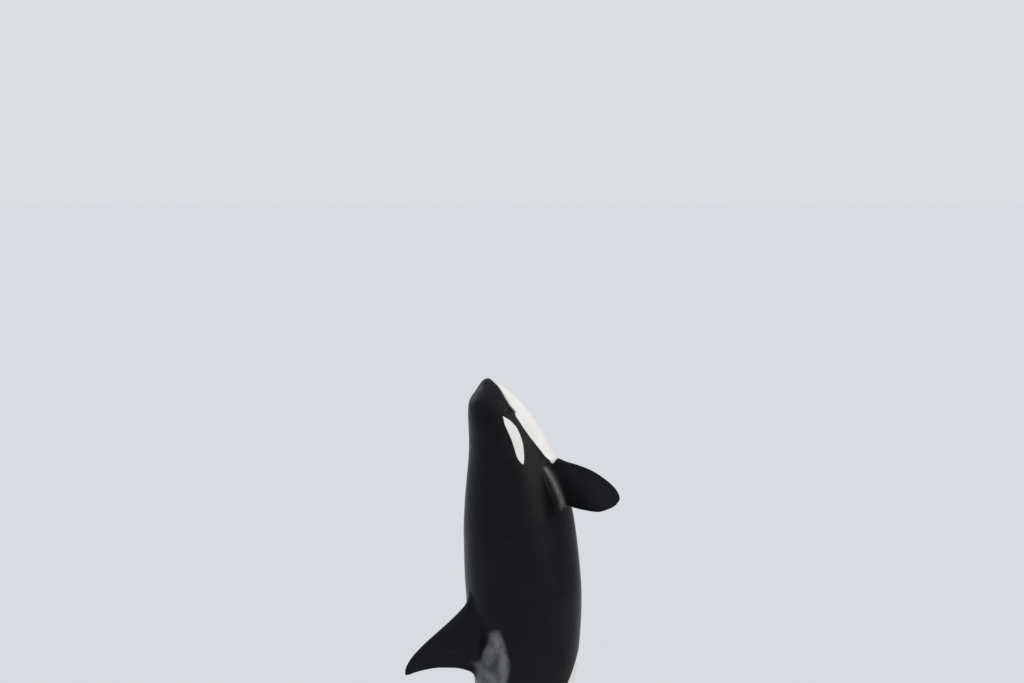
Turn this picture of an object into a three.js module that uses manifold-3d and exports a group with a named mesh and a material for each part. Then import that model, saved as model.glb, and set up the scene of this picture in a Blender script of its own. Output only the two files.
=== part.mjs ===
// A life-size still model of an adult female orca rising upright, head up, on a plain display stand.
// Millimetres, +Z up. The belly faces +X and the left side +Y. The part is the same on both sides of Y = 0.
// "along" is the distance from the snout down the body's centreline, and "rise" the distance from that
// line towards the back, so the belly has negative rises. An angle of 0 round the body is the back,
// a quarter turn the left side and half a turn the belly.
import * as THREE from "three";
import { mergeVertices } from "three/addons/utils/BufferGeometryUtils.js";
import Module from "manifold-3d";

const wasm = await Module();
wasm.setup();

const degrees = THREE.MathUtils.degToRad;

// Pose of the body
const BODY_LENGTH = 6000;
const SNOUT = { x: -300, z: 6240 };
const SNOUT_LEAN = degrees(16.6); // of the centreline from straight down
const ARCH_PER_MM = degrees(5.4) / 1000;
const TAIL_FLEX = { start: 4400, turn: degrees(30) }; // towards the belly

// Solids and their facets
const GAP = 0.3; // between neighbouring solids
const CLEAR = 0.4; // round the body, where something grows out of it
const SECTION_SIDES = 44;

// The body's profile: along, height of the back, depth of the belly, half width, roundness (2 is an ellipse)
const STATIONS = [
  [0, 0, 0, 0, 2],
  [20, 58, 34, 55, 2],
  [50, 92, 66, 92, 2],
  [100, 155, 116, 145, 2.05],
  [200, 243, 203, 216, 2.12],
  [300, 277, 274, 264, 2.12],
  [450, 305, 353, 320, 2.1],
  [600, 330, 420, 366, 2.1],
  [800, 376, 496, 420, 2.1],
  [1000, 433, 553, 466, 2.1],
  [1300, 508, 603, 512, 2.1],
  [1600, 560, 624, 540, 2.1],
  [2200, 600, 626, 558, 2.1],
  [2800, 585, 585, 530, 2.08],
  [3400, 520, 505, 440, 2],
  [4000, 425, 402, 325, 1.92],
  [4600, 318, 290, 212, 1.82],
  [5200, 210, 182, 122, 1.75],
  [5600, 135, 112, 70, 1.75],
  [5850, 75, 60, 40, 1.8],
];

// The named lengths of the body, with the number of rings in each
const LENGTHS = {
  head: { from: 0, to: 980, rings: 34 },
  chest: { from: 980, to: 1950, rings: 9 },
  torso: { from: 1950, to: 3300, rings: 12 },
  loin: { from: 3300, to: 4550, rings: 10 },
  tail_stock: { from: 4550, to: 5850, rings: 12 },
};
const SNOUT_RING_POWER = 1.7; // crowds the head's rings towards the snout

// Crease between the beak and the forehead, deepest on the midline of the back and swept down each cheek
const CREASE = { along: 74, sweep: 150, depth: 14, reach: 22, widening: 30, fade: degrees(90) };

// The line of the mouth: along, rise
const MOUTH_LINE = [
  [-100, -44],
  [37, -44],
  [100, -57],
  [230, -63],
  [310, -76],
  [408, -111],
];
const MOUTH_CORNER = { along: 408, rise: -111 };
const MOUTH_BEYOND_CORNER = 30; // how far the groove and the lips run on
const MOUTH_STEPS = 22;
const MOUTH_STEP_POWER = 1.6; // crowds the steps towards the snout
const MOUTH_GROOVE = { radius: 10, sunk: 0, sides: 6, taper: 3 };
const LIPS = { radius: 40, sunk: 34, sides: 10, taper: 6 };
const THROAT_CUT = { along: 560, rise: -560 }; // where the jaw parts from the throat
const JAW_STEPS = 24;

const EYE = { along: 372, rise: -30, radius: 27, sunk: 17 };
const LID = { long: 38, high: 28, thick: 10, sunk: 4 };

// A crescent slit across the crown, horns towards the snout, on a low swelling
const BLOWHOLE = { along: 630, radius: 62, spread: degrees(70), steps: 12 };
const BLOWHOLE_SLIT = { radius: 9, sunk: 0, sides: 6, taper: 2 };
const BLOWHOLE_SWELLING = { radius: 30, sunk: 24, sides: 8, taper: 4 };

const FIN_SIDES = 22;
const FIN_STEPS = 18;
const FIN_NOSE_WEIGHT = 0.3; // moves the thickest part of the section towards the leading edge

const PECTORAL = {
  along: 1235, // of the middle of the root
  angle: degrees(123), // of the root round the body
  droop: degrees(20), // from straight out, towards the belly
  sweep: degrees(3), // towards the tail
};
// Span from the root, then the leading edge, the trailing edge and the thickness
const PECTORAL_STATIONS = [
  [-150, -285, 168, 150],
  [0, -300, 172, 126],
  [70, -311, 183, 100],
  [130, -296, 202, 84],
  [200, -275, 218, 74],
  [330, -249, 240, 62],
  [560, -187, 261, 46],
  [740, -103, 228, 34],
  [860, -24, 184, 24],
  [905, 20, 151, 16],
  [928, 56, 130, 10],
  [937, 84, 112, 5],
];

const DORSAL_ROOT = 2700; // along the back
// Span from the back, then the leading edge, the trailing edge and the thickness
const DORSAL_STATIONS = [
  [-140, 2120, 3240, 150],
  [0, 2290, 3160, 118],
  [90, 2400, 3112, 88],
  [220, 2520, 3088, 70],
  [380, 2652, 3084, 52],
  [540, 2788, 3104, 38],
  [670, 2922, 3140, 28],
  [735, 3014, 3164, 19],
  [763, 3076, 3166, 12],
  [772, 3116, 3150, 7],
];

// Span from the midline, then the leading edge, the trailing edge and the thickness of one fluke
const FLUKE_STATIONS = [
  [0, 5400, 5962, 112],
  [40, 5412, 5982, 104],
  [90, 5452, 6020, 84],
  [200, 5548, 6064, 62],
  [340, 5658, 6084, 46],
  [500, 5784, 6086, 34],
  [660, 5908, 6088, 23],
  [760, 6000, 6098, 15],
  [812, 6062, 6108, 10],
  [828, 6096, 6112, 6],
];

// Stand
const BASE = { length: 2600, width: 2000, thickness: 80, corner: 260, bevel: 10 };
const RODS = {
  belly: { footX: 1000, meets: 4400, side: -1 },
  back: { footX: -1080, meets: 4200, side: 1 },
};
const ROD_RADIUS = 48;
const ROD_SIDES = 24;
const FOOT = { radius: 165, height: 26, bevel: 8, sides: 32 };
const COLLAR = { radius: 76, length: 130 };
const ROD_INSIDE = 260; // how far a rod runs on under the skin before it is trimmed

// Monotone cubic through a few points
function smoothCurve(points) {
  const step = [];
  const slope = [];
  for (let i = 0; i + 1 < points.length; i += 1) {
    step.push(points[i + 1][0] - points[i][0]);
    slope.push((points[i + 1][1] - points[i][1]) / step[i]);
  }
  const tangent = points.map((_, i) => {
    if (i === 0) return slope[0];
    if (i === points.length - 1) return slope[i - 1];
    if (slope[i - 1] * slope[i] <= 0) return 0;
    const before = 2 * step[i] + step[i - 1];
    const after = step[i] + 2 * step[i - 1];
    return (before + after) / (before / slope[i - 1] + after / slope[i]);
  });
  const last = points.length - 1;
  return (x) => {
    const at = THREE.MathUtils.clamp(x, points[0][0], points[last][0]);
    let i = 0;
    while (i < last - 1 && at > points[i + 1][0]) i += 1;
    const u = (at - points[i][0]) / step[i];
    const start = (1 + 2 * u) * (1 - u) ** 2 * points[i][1] + u * (1 - u) ** 2 * step[i] * tangent[i];
    const end = u * u * (3 - 2 * u) * points[i + 1][1] + u * u * (u - 1) * step[i] * tangent[i + 1];
    return start + end;
  };
}

// The body's stations are joined over the square root of "along", which rounds the snout off
function bodyCurve(column) {
  const curve = smoothCurve(STATIONS.map((row) => [Math.sqrt(row[0]), row[column]]));
  return (along) => curve(Math.sqrt(Math.max(0, along)));
}
const backHeight = bodyCurve(1);
const bellyDepth = bodyCurve(2);
const halfWidth = bodyCurve(3);
const roundness = bodyCurve(4);

const mouthRise = smoothCurve(MOUTH_LINE);

// The centreline's lean from straight down, towards +X
function lean(along) {
  const flexed = Math.max(0, along - TAIL_FLEX.start) / (BODY_LENGTH - TAIL_FLEX.start);
  return SNOUT_LEAN - ARCH_PER_MM * along + TAIL_FLEX.turn * flexed ** 2;
}

const LINE_STEP = 10;
const LINE_END = 6300;
const centreline = [new THREE.Vector2(SNOUT.x, SNOUT.z)];
for (let along = 0; along < LINE_END; along += LINE_STEP) {
  const turn = lean(along + LINE_STEP / 2);
  const step = new THREE.Vector2(Math.sin(turn), -Math.cos(turn)).multiplyScalar(LINE_STEP);
  centreline.push(centreline[centreline.length - 1].clone().add(step));
}

// A point given along, beside and above the centreline
function place(along, side, rise) {
  const i = THREE.MathUtils.clamp(Math.floor(along / LINE_STEP), 0, centreline.length - 2);
  const share = along / LINE_STEP - i;
  const x = THREE.MathUtils.lerp(centreline[i].x, centreline[i + 1].x, share);
  const z = THREE.MathUtils.lerp(centreline[i].y, centreline[i + 1].y, share);
  const turn = lean(Math.max(0, along));
  return new THREE.Vector3(x - rise * Math.cos(turn), side, z - rise * Math.sin(turn));
}

// How deep the crease is at a point of the skin
function creaseDepth(along, angle) {
  const round = Math.abs(Math.atan2(Math.sin(angle), Math.cos(angle)));
  if (round > CREASE.fade) return 0;
  const swept = 1 - Math.cos(round);
  const off = (along - CREASE.along - CREASE.sweep * swept) / (CREASE.reach + CREASE.widening * swept);
  const fade = Math.cos((round / CREASE.fade) * (Math.PI / 2)) ** 2;
  return CREASE.depth * fade * Math.exp(-(off ** 2));
}

// A point of the skin, or of a body grown by a few tenths of a millimetre
function skin(along, angle, grown = 0) {
  const out = grown - creaseDepth(along, angle);
  const back = backHeight(along) + out;
  const belly = bellyDepth(along) + out;
  const power = 2 / roundness(along);
  const cos = Math.cos(angle);
  const sin = Math.sin(angle);
  const side = (halfWidth(along) + out) * Math.sign(sin) * Math.abs(sin) ** power;
  const rise = (back - belly) / 2 + ((back + belly) / 2) * Math.sign(cos) * Math.abs(cos) ** power;
  return place(along, side, rise);
}

// The angle round the body at which the skin has a given rise, on the left side
function angleAt(along, rise) {
  const middle = (backHeight(along) - bellyDepth(along)) / 2;
  const half = (backHeight(along) + bellyDepth(along)) / 2;
  const share = THREE.MathUtils.clamp((rise - middle) / half, -1, 1);
  return Math.acos(Math.sign(share) * Math.abs(share) ** (roundness(along) / 2));
}

// A point of the skin with the directions towards the tail and straight out
const NUDGE = { along: 3, angle: 0.02 };
function skinFrame(along, angle) {
  const tailward = skin(along + NUDGE.along, angle).sub(skin(along - NUDGE.along, angle)).normalize();
  const round = skin(along, angle + NUDGE.angle).sub(skin(along, angle - NUDGE.angle)).normalize();
  const out = round.cross(tailward).normalize();
  return { point: skin(along, angle), tailward, out };
}

// A solid from positions and triangles, whichever way round the triangles all are
function solidOf(positions, triangles) {
  const corner = (i) => new THREE.Vector3().fromArray(positions, 3 * i);
  let volume = 0;
  for (let t = 0; t < triangles.length; t += 3) {
    const [a, b, c] = triangles.slice(t, t + 3).map(corner);
    volume += a.dot(b.cross(c));
  }
  const outward = volume > 0 ? triangles : triangles.toReversed();
  return new wasm.Manifold(
    new wasm.Mesh({
      numProp: 3,
      vertProperties: Float32Array.from(positions),
      triVerts: Uint32Array.from(outward),
    }),
  );
}

function solidOfGeometry(geometry) {
  const plain = geometry.index ? geometry.toNonIndexed() : geometry.clone();
  plain.deleteAttribute("normal");
  plain.deleteAttribute("uv");
  const merged = mergeVertices(plain, 1e-3);
  return solidOf([...merged.attributes.position.array], [...merged.index.array]);
}

function together(solids) {
  return solids.reduce((sum, solid) => sum.add(solid));
}

function largest(solid) {
  return solid.decompose().sort((a, b) => b.volume() - a.volume())[0];
}

// A closed solid through rings of points. A ring of one point is a tip.
function loft(rings) {
  const positions = [];
  const triangles = [];
  const starts = [];
  for (const ring of rings) {
    starts.push(positions.length / 3);
    for (const p of ring) positions.push(p.x, p.y, p.z);
  }
  for (let r = 0; r + 1 < rings.length; r += 1) {
    const [a, b] = [starts[r], starts[r + 1]];
    const sides = Math.max(rings[r].length, rings[r + 1].length);
    for (let i = 0; i < sides; i += 1) {
      const j = (i + 1) % sides;
      if (rings[r].length === 1) triangles.push(a, b + j, b + i);
      else if (rings[r + 1].length === 1) triangles.push(a + i, a + j, b);
      else triangles.push(a + i, a + j, b + j, a + i, b + j, b + i);
    }
  }
  const cap = (ring, start, isFirst) => {
    if (ring.length === 1) return;
    const centre = ring.reduce((sum, p) => sum.add(p), new THREE.Vector3()).divideScalar(ring.length);
    const hub = positions.length / 3;
    positions.push(centre.x, centre.y, centre.z);
    for (let i = 0; i < ring.length; i += 1) {
      const j = (i + 1) % ring.length;
      if (isFirst) triangles.push(hub, start + j, start + i);
      else triangles.push(hub, start + i, start + j);
    }
  };
  cap(rings[0], starts[0], true);
  cap(rings[rings.length - 1], starts[rings.length - 1], false);
  return solidOf(positions, triangles);
}

// A cord laid along the skin, its axis sunk under it. Over "taper" steps it dwindles to a point at each end.
function cord(path, { radius, sunk, sides, taper }) {
  const frames = path.map(({ along, angle }) => skinFrame(along, angle));
  const last = path.length - 1;
  const scale = path.map((_, i) => Math.min(1, i / taper, (last - i) / taper));
  const axis = frames.map(({ point, out }, i) => point.clone().addScaledVector(out, -sunk * scale[i]));
  const rings = axis.map((centre, i) => {
    if (i === 0 || i === last) return [centre];
    const forward = axis[i + 1].clone().sub(axis[i - 1]).normalize();
    const across = forward.cross(frames[i].out).normalize();
    return Array.from({ length: sides }, (_, k) => {
      const a = (2 * Math.PI * k) / sides;
      const p = centre.clone().addScaledVector(frames[i].out, radius * scale[i] * Math.cos(a));
      return p.addScaledVector(across, radius * scale[i] * Math.sin(a));
    });
  });
  return loft(rings);
}

// A length of the body
function bodyLength({ from, to, rings }, grown = 0) {
  const loops = from === 0 ? [[place(-grown, 0, 0)]] : [];
  for (let i = loops.length; i <= rings; i += 1) {
    const share = from === 0 ? (i / rings) ** SNOUT_RING_POWER : i / rings;
    const along = THREE.MathUtils.lerp(from, to, share);
    const angles = Array.from({ length: SECTION_SIDES }, (_, k) => (2 * Math.PI * k) / SECTION_SIDES);
    loops.push(angles.map((angle) => skin(along, angle, grown)));
  }
  return loft(loops);
}

// A named length of the body, drawn in at its parted ends so that neighbours stand a gap apart
function partedLength(name) {
  const { from, to, rings } = LENGTHS[name];
  const start = from === 0 ? 0 : from + GAP / 2;
  const end = name === "tail_stock" ? to : to - GAP / 2;
  return bodyLength({ from: start, to: end, rings });
}

// The whole body, slightly grown, to trim whatever grows out of it
const trimmer = together(
  Object.values(LENGTHS).map(({ from, to, rings }) =>
    bodyLength({ from: from === 0 ? 0 : from - GAP, to: to + GAP, rings }, CLEAR),
  ),
);

// The line of the mouth on the skin, from the left corner round under the snout to the right one
function mouthPath() {
  const sideOf = (along, rise) => ({ along, angle: angleAt(along, rise) });
  let front = 0;
  while (bellyDepth(front) < -mouthRise(front)) front += 1;
  const left = [sideOf(MOUTH_CORNER.along + MOUTH_BEYOND_CORNER, MOUTH_CORNER.rise)];
  for (let i = MOUTH_STEPS; i > 0; i -= 1) {
    const along = THREE.MathUtils.lerp(front, MOUTH_CORNER.along, (i / MOUTH_STEPS) ** MOUTH_STEP_POWER);
    left.push(sideOf(along, mouthRise(along)));
  }
  const right = left.map(({ along, angle }) => ({ along, angle: 2 * Math.PI - angle })).reverse();
  return [...left, { along: front, angle: Math.PI }, ...right];
}

// Everything below the mouth and before the throat cut, grown on its upper and rear faces
function jawBlock(grown) {
  const front = MOUTH_LINE[0][0];
  const outline = [[front, THROAT_CUT.rise]];
  for (let i = 0; i < JAW_STEPS; i += 1) {
    const along = THREE.MathUtils.lerp(front, MOUTH_CORNER.along, i / JAW_STEPS);
    outline.push([along, mouthRise(along) + grown]);
  }
  outline.push([MOUTH_CORNER.along + grown, MOUTH_CORNER.rise + grown]);
  outline.push([THROAT_CUT.along + grown, THROAT_CUT.rise]);
  const corners = outline.map(([along, rise]) => place(along, 0, rise));
  const shape = new THREE.Shape(corners.map((p) => new THREE.Vector2(p.x, p.z)));
  const width = 2 * halfWidth(LENGTHS.head.to);
  const block = new THREE.ExtrudeGeometry(shape, { depth: width, bevelEnabled: false });
  block.rotateX(Math.PI / 2);
  block.translate(0, width / 2, 0);
  return solidOfGeometry(block);
}

// Eyes and lids. "mirror" is 1 on the left side and -1 on the right.
function eyeFrame(mirror) {
  return skinFrame(EYE.along, mirror * angleAt(EYE.along, EYE.rise));
}

function eyeBall(mirror, grown = 0) {
  const { point, out } = eyeFrame(mirror);
  const ball = new THREE.SphereGeometry(EYE.radius + grown, 16, 10);
  ball.applyQuaternion(new THREE.Quaternion().setFromUnitVectors(new THREE.Vector3(0, 1, 0), out));
  ball.translate(...point.addScaledVector(out, -EYE.sunk).toArray());
  return solidOfGeometry(ball);
}

function eyeLid(mirror) {
  const { point, tailward, out } = eyeFrame(mirror);
  const ring = new THREE.TorusGeometry(1, LID.thick / LID.long, 8, 22);
  ring.scale(LID.long, LID.high, LID.long);
  ring.applyMatrix4(new THREE.Matrix4().makeBasis(tailward, out.clone().cross(tailward), out));
  ring.translate(...point.addScaledVector(out, -LID.sunk).toArray());
  return solidOfGeometry(ring);
}

function blowholePath() {
  return Array.from({ length: BLOWHOLE.steps + 1 }, (_, i) => {
    const turn = BLOWHOLE.spread * ((2 * i) / BLOWHOLE.steps - 1);
    const along = BLOWHOLE.along + BLOWHOLE.radius * (Math.cos(turn) - 1);
    const side = BLOWHOLE.radius * Math.sin(turn);
    return { along, angle: Math.asin(side / halfWidth(along)) };
  });
}

function carvedHead() {
  return together([
    partedLength("head"),
    cord(mouthPath(), LIPS),
    eyeLid(1),
    eyeLid(-1),
    cord(blowholePath(), BLOWHOLE_SWELLING),
  ])
    .subtract(cord(mouthPath(), MOUTH_GROOVE))
    .subtract(cord(blowholePath(), BLOWHOLE_SLIT))
    .subtract(eyeBall(1, GAP))
    .subtract(eyeBall(-1, GAP));
}

// Fins: rings between the leading and trailing edges. frame(span, chord, thick) places their points.
function fin(stations, frame) {
  const [leading, trailing, thickness] = [1, 2, 3].map((column) =>
    smoothCurve(stations.map((row) => [row[0], row[column]])),
  );
  const root = stations[0][0];
  const tip = stations[stations.length - 1][0];
  const ring = (span) => {
    const middle = (leading(span) + trailing(span)) / 2;
    const reach = (trailing(span) - leading(span)) / 2;
    return Array.from({ length: FIN_SIDES }, (_, k) => {
      const a = (2 * Math.PI * k) / FIN_SIDES;
      const thick = (thickness(span) / 2) * Math.sin(a) * (1 + FIN_NOSE_WEIGHT * Math.cos(a));
      return frame(span, middle - reach * Math.cos(a), thick);
    });
  };
  const rings = [];
  for (let i = 0; i < FIN_STEPS; i += 1) {
    rings.push(ring(THREE.MathUtils.lerp(root, tip, Math.sin((i / FIN_STEPS) * (Math.PI / 2)))));
  }
  rings.push([frame(tip, (leading(tip) + trailing(tip)) / 2, 0)]);
  return largest(loft(rings).subtract(trimmer));
}

function pectoralFin(mirror) {
  const root = skin(PECTORAL.along, PECTORAL.angle);
  const turn = lean(PECTORAL.along);
  const tailward = new THREE.Vector3(Math.sin(turn), 0, -Math.cos(turn));
  const bellyward = new THREE.Vector3(Math.cos(turn), 0, Math.sin(turn));
  const spanway = new THREE.Vector3(0, Math.cos(PECTORAL.droop), 0)
    .addScaledVector(bellyward, Math.sin(PECTORAL.droop))
    .addScaledVector(tailward, Math.sin(PECTORAL.sweep))
    .normalize();
  const thickway = spanway.clone().cross(tailward).normalize();
  return fin(PECTORAL_STATIONS, (span, chord, thick) => {
    const p = root.clone().addScaledVector(spanway, span);
    p.addScaledVector(tailward, chord).addScaledVector(thickway, thick);
    return new THREE.Vector3(p.x, mirror * p.y, p.z);
  });
}

function dorsalFin() {
  const back = backHeight(DORSAL_ROOT);
  return fin(DORSAL_STATIONS, (span, chord, thick) => place(chord, thick, back + span));
}

function fluke(mirror) {
  return fin(FLUKE_STATIONS, (span, chord, thick) => place(chord, mirror * (span + GAP / 2), thick));
}

// The base plate, with rounded corners and bevelled edges
function basePlate() {
  const x = BASE.length / 2 - BASE.bevel;
  const y = BASE.width / 2 - BASE.bevel;
  const r = BASE.corner;
  const quarter = Math.PI / 2;
  const outline = new THREE.Shape();
  outline.absarc(x - r, y - r, r, 0, quarter);
  outline.absarc(r - x, y - r, r, quarter, 2 * quarter);
  outline.absarc(r - x, r - y, r, 2 * quarter, 3 * quarter);
  outline.absarc(x - r, r - y, r, 3 * quarter, 4 * quarter);
  const plate = new THREE.ExtrudeGeometry(outline, {
    depth: BASE.thickness - 2 * BASE.bevel,
    bevelSize: BASE.bevel,
    bevelThickness: BASE.bevel,
    bevelSegments: 1,
    curveSegments: 8,
  });
  plate.translate(0, 0, BASE.bevel);
  return solidOfGeometry(plate);
}

// A rod and its foot, from the base plate up to the middle of the back (side 1) or of the belly (side -1)
function standRod({ footX, meets, side }) {
  const foot = new THREE.Vector3(footX, 0, BASE.thickness + GAP);
  const top = skin(meets, side > 0 ? 0 : Math.PI);
  const reach = top.distanceTo(foot);
  const upright = new THREE.Vector3(0, 1, 0);
  const turn = new THREE.Quaternion().setFromUnitVectors(upright, top.sub(foot).normalize());
  const bar = (radius, from, to) => {
    const cylinder = new THREE.CylinderGeometry(radius, radius, to - from, ROD_SIDES);
    cylinder.translate(0, (from + to) / 2, 0);
    cylinder.applyQuaternion(turn);
    cylinder.translate(...foot.toArray());
    return solidOfGeometry(cylinder);
  };
  const shaft = bar(ROD_RADIUS, -FOOT.radius, reach + ROD_INSIDE);
  const collar = bar(COLLAR.radius, reach - COLLAR.length, reach + ROD_INSIDE);
  const below = new THREE.BoxGeometry(BASE.length, BASE.width, BASE.length);
  below.translate(footX, 0, foot.z - BASE.length / 2);
  const rod = largest(shaft.add(collar).subtract(solidOfGeometry(below)).subtract(trimmer));

  const disc = new THREE.CylinderGeometry(FOOT.radius - FOOT.bevel, FOOT.radius, FOOT.height, FOOT.sides);
  disc.rotateX(Math.PI / 2);
  disc.translate(footX, 0, foot.z + FOOT.height / 2);
  const flange = solidOfGeometry(disc).subtract(bar(ROD_RADIUS + GAP, -FOOT.radius, reach));
  return { rod, flange };
}

// Materials
function paint(color, roughness, metalness = 0) {
  return new THREE.MeshStandardMaterial({ color, roughness, metalness });
}
const BLACK_SKIN = paint(0x0d0e11, 0.28);
const WHITE_SKIN = paint(0xe6e1d8, 0.35);
const EYE_GLOSS = paint(0x120c0a, 0.05);
const BASE_PAINT = paint(0x8d9094, 0.6);
const STEEL = paint(0xa7aaae, 0.35, 0.9);

const orca = new THREE.Group();

function addPart(name, solid, material) {
  const { vertProperties, triVerts } = solid.getMesh();
  const geometry = new THREE.BufferGeometry();
  geometry.setAttribute("position", new THREE.BufferAttribute(vertProperties, 3));
  geometry.setIndex(new THREE.BufferAttribute(triVerts, 1));
  geometry.computeVertexNormals();
  const mesh = new THREE.Mesh(geometry, material);
  mesh.name = name;
  orca.add(mesh);
}

const wholeHead = carvedHead();
addPart("head", largest(wholeHead.subtract(jawBlock(GAP / 2))), BLACK_SKIN);
addPart("lower_jaw", largest(wholeHead.intersect(jawBlock(-GAP / 2))), WHITE_SKIN);
for (const name of ["chest", "torso", "loin", "tail_stock"]) addPart(name, partedLength(name), BLACK_SKIN);
addPart("dorsal_fin", dorsalFin(), BLACK_SKIN);
for (const [name, mirror] of [["left", 1], ["right", -1]]) {
  addPart(`eye_${name}`, eyeBall(mirror), EYE_GLOSS);
  addPart(`pectoral_fin_${name}`, pectoralFin(mirror), BLACK_SKIN);
  addPart(`fluke_${name}`, fluke(mirror), BLACK_SKIN);
}
addPart("stand_base", basePlate(), BASE_PAINT);
for (const name of ["belly", "back"]) {
  const { rod, flange } = standRod(RODS[name]);
  addPart(`stand_rod_${name}`, rod, STEEL);
  addPart(`stand_foot_${name}`, flange, STEEL);
}

export default orca;
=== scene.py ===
"""The looks of a life-size adult female orca, rising upright on a display stand.

Metres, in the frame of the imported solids: +Z up, the belly faces +X, the left side +Y.
"along" is the distance from the snout down the body's centreline, "rise" the distance from that line
towards the back. Angles round the body start at the back (0), pass the left side (a quarter turn) and
reach the belly at half a turn. The animal is the same on both sides, so most places are worked out on
the left side alone.
"""

import math

import bmesh
import bpy
import numpy as np
from mathutils import Matrix, Vector


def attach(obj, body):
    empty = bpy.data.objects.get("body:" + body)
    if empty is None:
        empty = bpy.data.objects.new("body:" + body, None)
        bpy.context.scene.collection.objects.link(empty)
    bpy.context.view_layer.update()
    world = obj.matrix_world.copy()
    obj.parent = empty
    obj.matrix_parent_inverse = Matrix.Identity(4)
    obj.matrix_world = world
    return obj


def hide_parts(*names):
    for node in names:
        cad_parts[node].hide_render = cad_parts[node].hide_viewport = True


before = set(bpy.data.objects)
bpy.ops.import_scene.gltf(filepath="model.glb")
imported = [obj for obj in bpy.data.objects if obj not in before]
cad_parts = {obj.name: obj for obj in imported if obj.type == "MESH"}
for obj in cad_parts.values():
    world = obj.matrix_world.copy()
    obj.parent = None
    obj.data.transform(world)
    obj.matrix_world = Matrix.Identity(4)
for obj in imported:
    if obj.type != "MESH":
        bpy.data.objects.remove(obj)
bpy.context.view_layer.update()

# Pose of the body
BODY_LENGTH = 6.0
SNOUT = np.array((-0.3, 6.24))
SNOUT_LEAN = math.radians(16.6)
ARCH_PER_METRE = math.radians(5.4)
TAIL_FLEX_START = 4.4
TAIL_FLEX_TURN = math.radians(30)

# The body's profile: along, height of the back, depth of the belly, half width, roundness (2 is an ellipse)
STATIONS = (
    (0, 0, 0, 0, 2),
    (0.02, 0.058, 0.034, 0.055, 2),
    (0.05, 0.092, 0.066, 0.092, 2),
    (0.1, 0.155, 0.116, 0.145, 2.05),
    (0.2, 0.243, 0.203, 0.216, 2.12),
    (0.3, 0.277, 0.274, 0.264, 2.12),
    (0.45, 0.305, 0.353, 0.32, 2.1),
    (0.6, 0.33, 0.42, 0.366, 2.1),
    (0.8, 0.376, 0.496, 0.42, 2.1),
    (1, 0.433, 0.553, 0.466, 2.1),
    (1.3, 0.508, 0.603, 0.512, 2.1),
    (1.6, 0.56, 0.624, 0.54, 2.1),
    (2.2, 0.6, 0.626, 0.558, 2.1),
    (2.8, 0.585, 0.585, 0.53, 2.08),
    (3.4, 0.52, 0.505, 0.44, 2),
    (4, 0.425, 0.402, 0.325, 1.92),
    (4.6, 0.318, 0.29, 0.212, 1.82),
    (5.2, 0.21, 0.182, 0.122, 1.75),
    (5.6, 0.135, 0.112, 0.07, 1.75),
    (5.8, 0.082, 0.066, 0.044, 1.8),
    (5.9, 0.034, 0.026, 0.02, 1.9),
    (5.93, 0, 0, 0, 2),
)

# Rings of the skin's mesh: from one place along the body to the next, at this spacing
RING_SPACINGS = (
    (0.1, 0.33, 0.0034),
    (0.33, 0.44, 0.0017),
    (0.44, 0.56, 0.004),
    (0.56, 0.67, 0.0026),
    (0.67, 1.1, 0.0085),
    (1.1, 3.7, 0.015),
    (3.7, 4.2, 0.008),
    (4.2, 5.8, 0.015),
    (5.8, 5.926, 0.007),
)
SNOUT_RINGS = 36
HALF_ROUND_SIDES = 210
# Where the sides crowd together round the body: angle, reach, how much closer
MOUTH_SIDE = math.radians(101)
CROWDED_SIDES = (
    (0, math.radians(11), 2.6),
    (math.radians(89), math.radians(6), 3.2),
    (MOUTH_SIDE, math.radians(7), 3.2),
    (math.radians(180), math.radians(9), 0.9),
)
CROWDING_STEPS = 4000
# The sides follow the line of the mouth along the head, and straighten out behind it
STRAIGHTENS = (0.7, 1.5)
FOLLOWED_TURN = math.radians(52)

# Crease between the beak and the forehead, swept down each cheek
CREASE_ALONG = 0.074
CREASE_SWEEP = 0.15
CREASE_DEPTH = 0.014
CREASE_REACH = 0.022
CREASE_WIDENING = 0.03

# The line of the mouth: along, rise
MOUTH_LINE = (
    (-0.1, -0.044),
    (0.037, -0.044),
    (0.1, -0.057),
    (0.23, -0.063),
    (0.31, -0.076),
    (0.408, -0.119),
)
MOUTH_CORNER = MOUTH_LINE[-1]
MOUTH_BEYOND_CORNER = 0.03
# How far back its front is looked for, and how its path is divided: more closely towards the front
MOUTH_FRONT = {"before": 0.05, "steps": 500}
MOUTH_PATH = {"places": 60, "crowding": 1.6}
# A groove's "end" is the share of its path over which it fades out
# The groove also gets painted shade, darkest along its middle, over the last reach given
MOUTH_GROOVE = {"depth": 0.011, "reach": 0.0055, "painted_shade_reach": 0.0044, "end": 0.05}
LIP = {"height": 0.0055, "off": 0.021, "reach": 0.014}

EYE = {"along": 0.372, "rise": -0.03, "radius": 0.027, "sunk": 0.017}
# The opening between the lids: half its length and half its height
EYE_OPENING = (0.025, 0.0125)
EYE_ZONE = 0.13
# Lids: "full" is where they are wholly lid, "behind" how deep they go behind the eyeball
LID = {"thick": 0.0042, "slope": 1.15, "reach": 0.034, "full": 0.004, "behind": 0.009, "floor": -0.004}
# Painted shade just inside the lids' edge: where it starts and how far it blurs
LID_SHADE = {"edge": 0.0012, "blur": 0.003}
# Folds of skin round the lids: distance from the opening, depth, reach, and how much deeper they are behind
LID_FOLDS = ((0.0125, 0.0016, 0.003), (0.0225, 0.0011, 0.0034))
LID_FOLD_UNEVEN = 0.35
BROW = {"height": 0.007, "reach": 0.062}

BLOWHOLE = {"along": 0.63, "radius": 0.056, "spread": math.radians(60), "places": 24}
# The slit also gets painted shade, darkest along its middle, over the last reach given
BLOWHOLE_SLIT = {"depth": 0.009, "reach": 0.0045, "painted_shade_reach": 0.00675, "end": 0.3}
BLOWHOLE_SWELLING = {"height": 0.003, "reach": 0.04}

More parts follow.
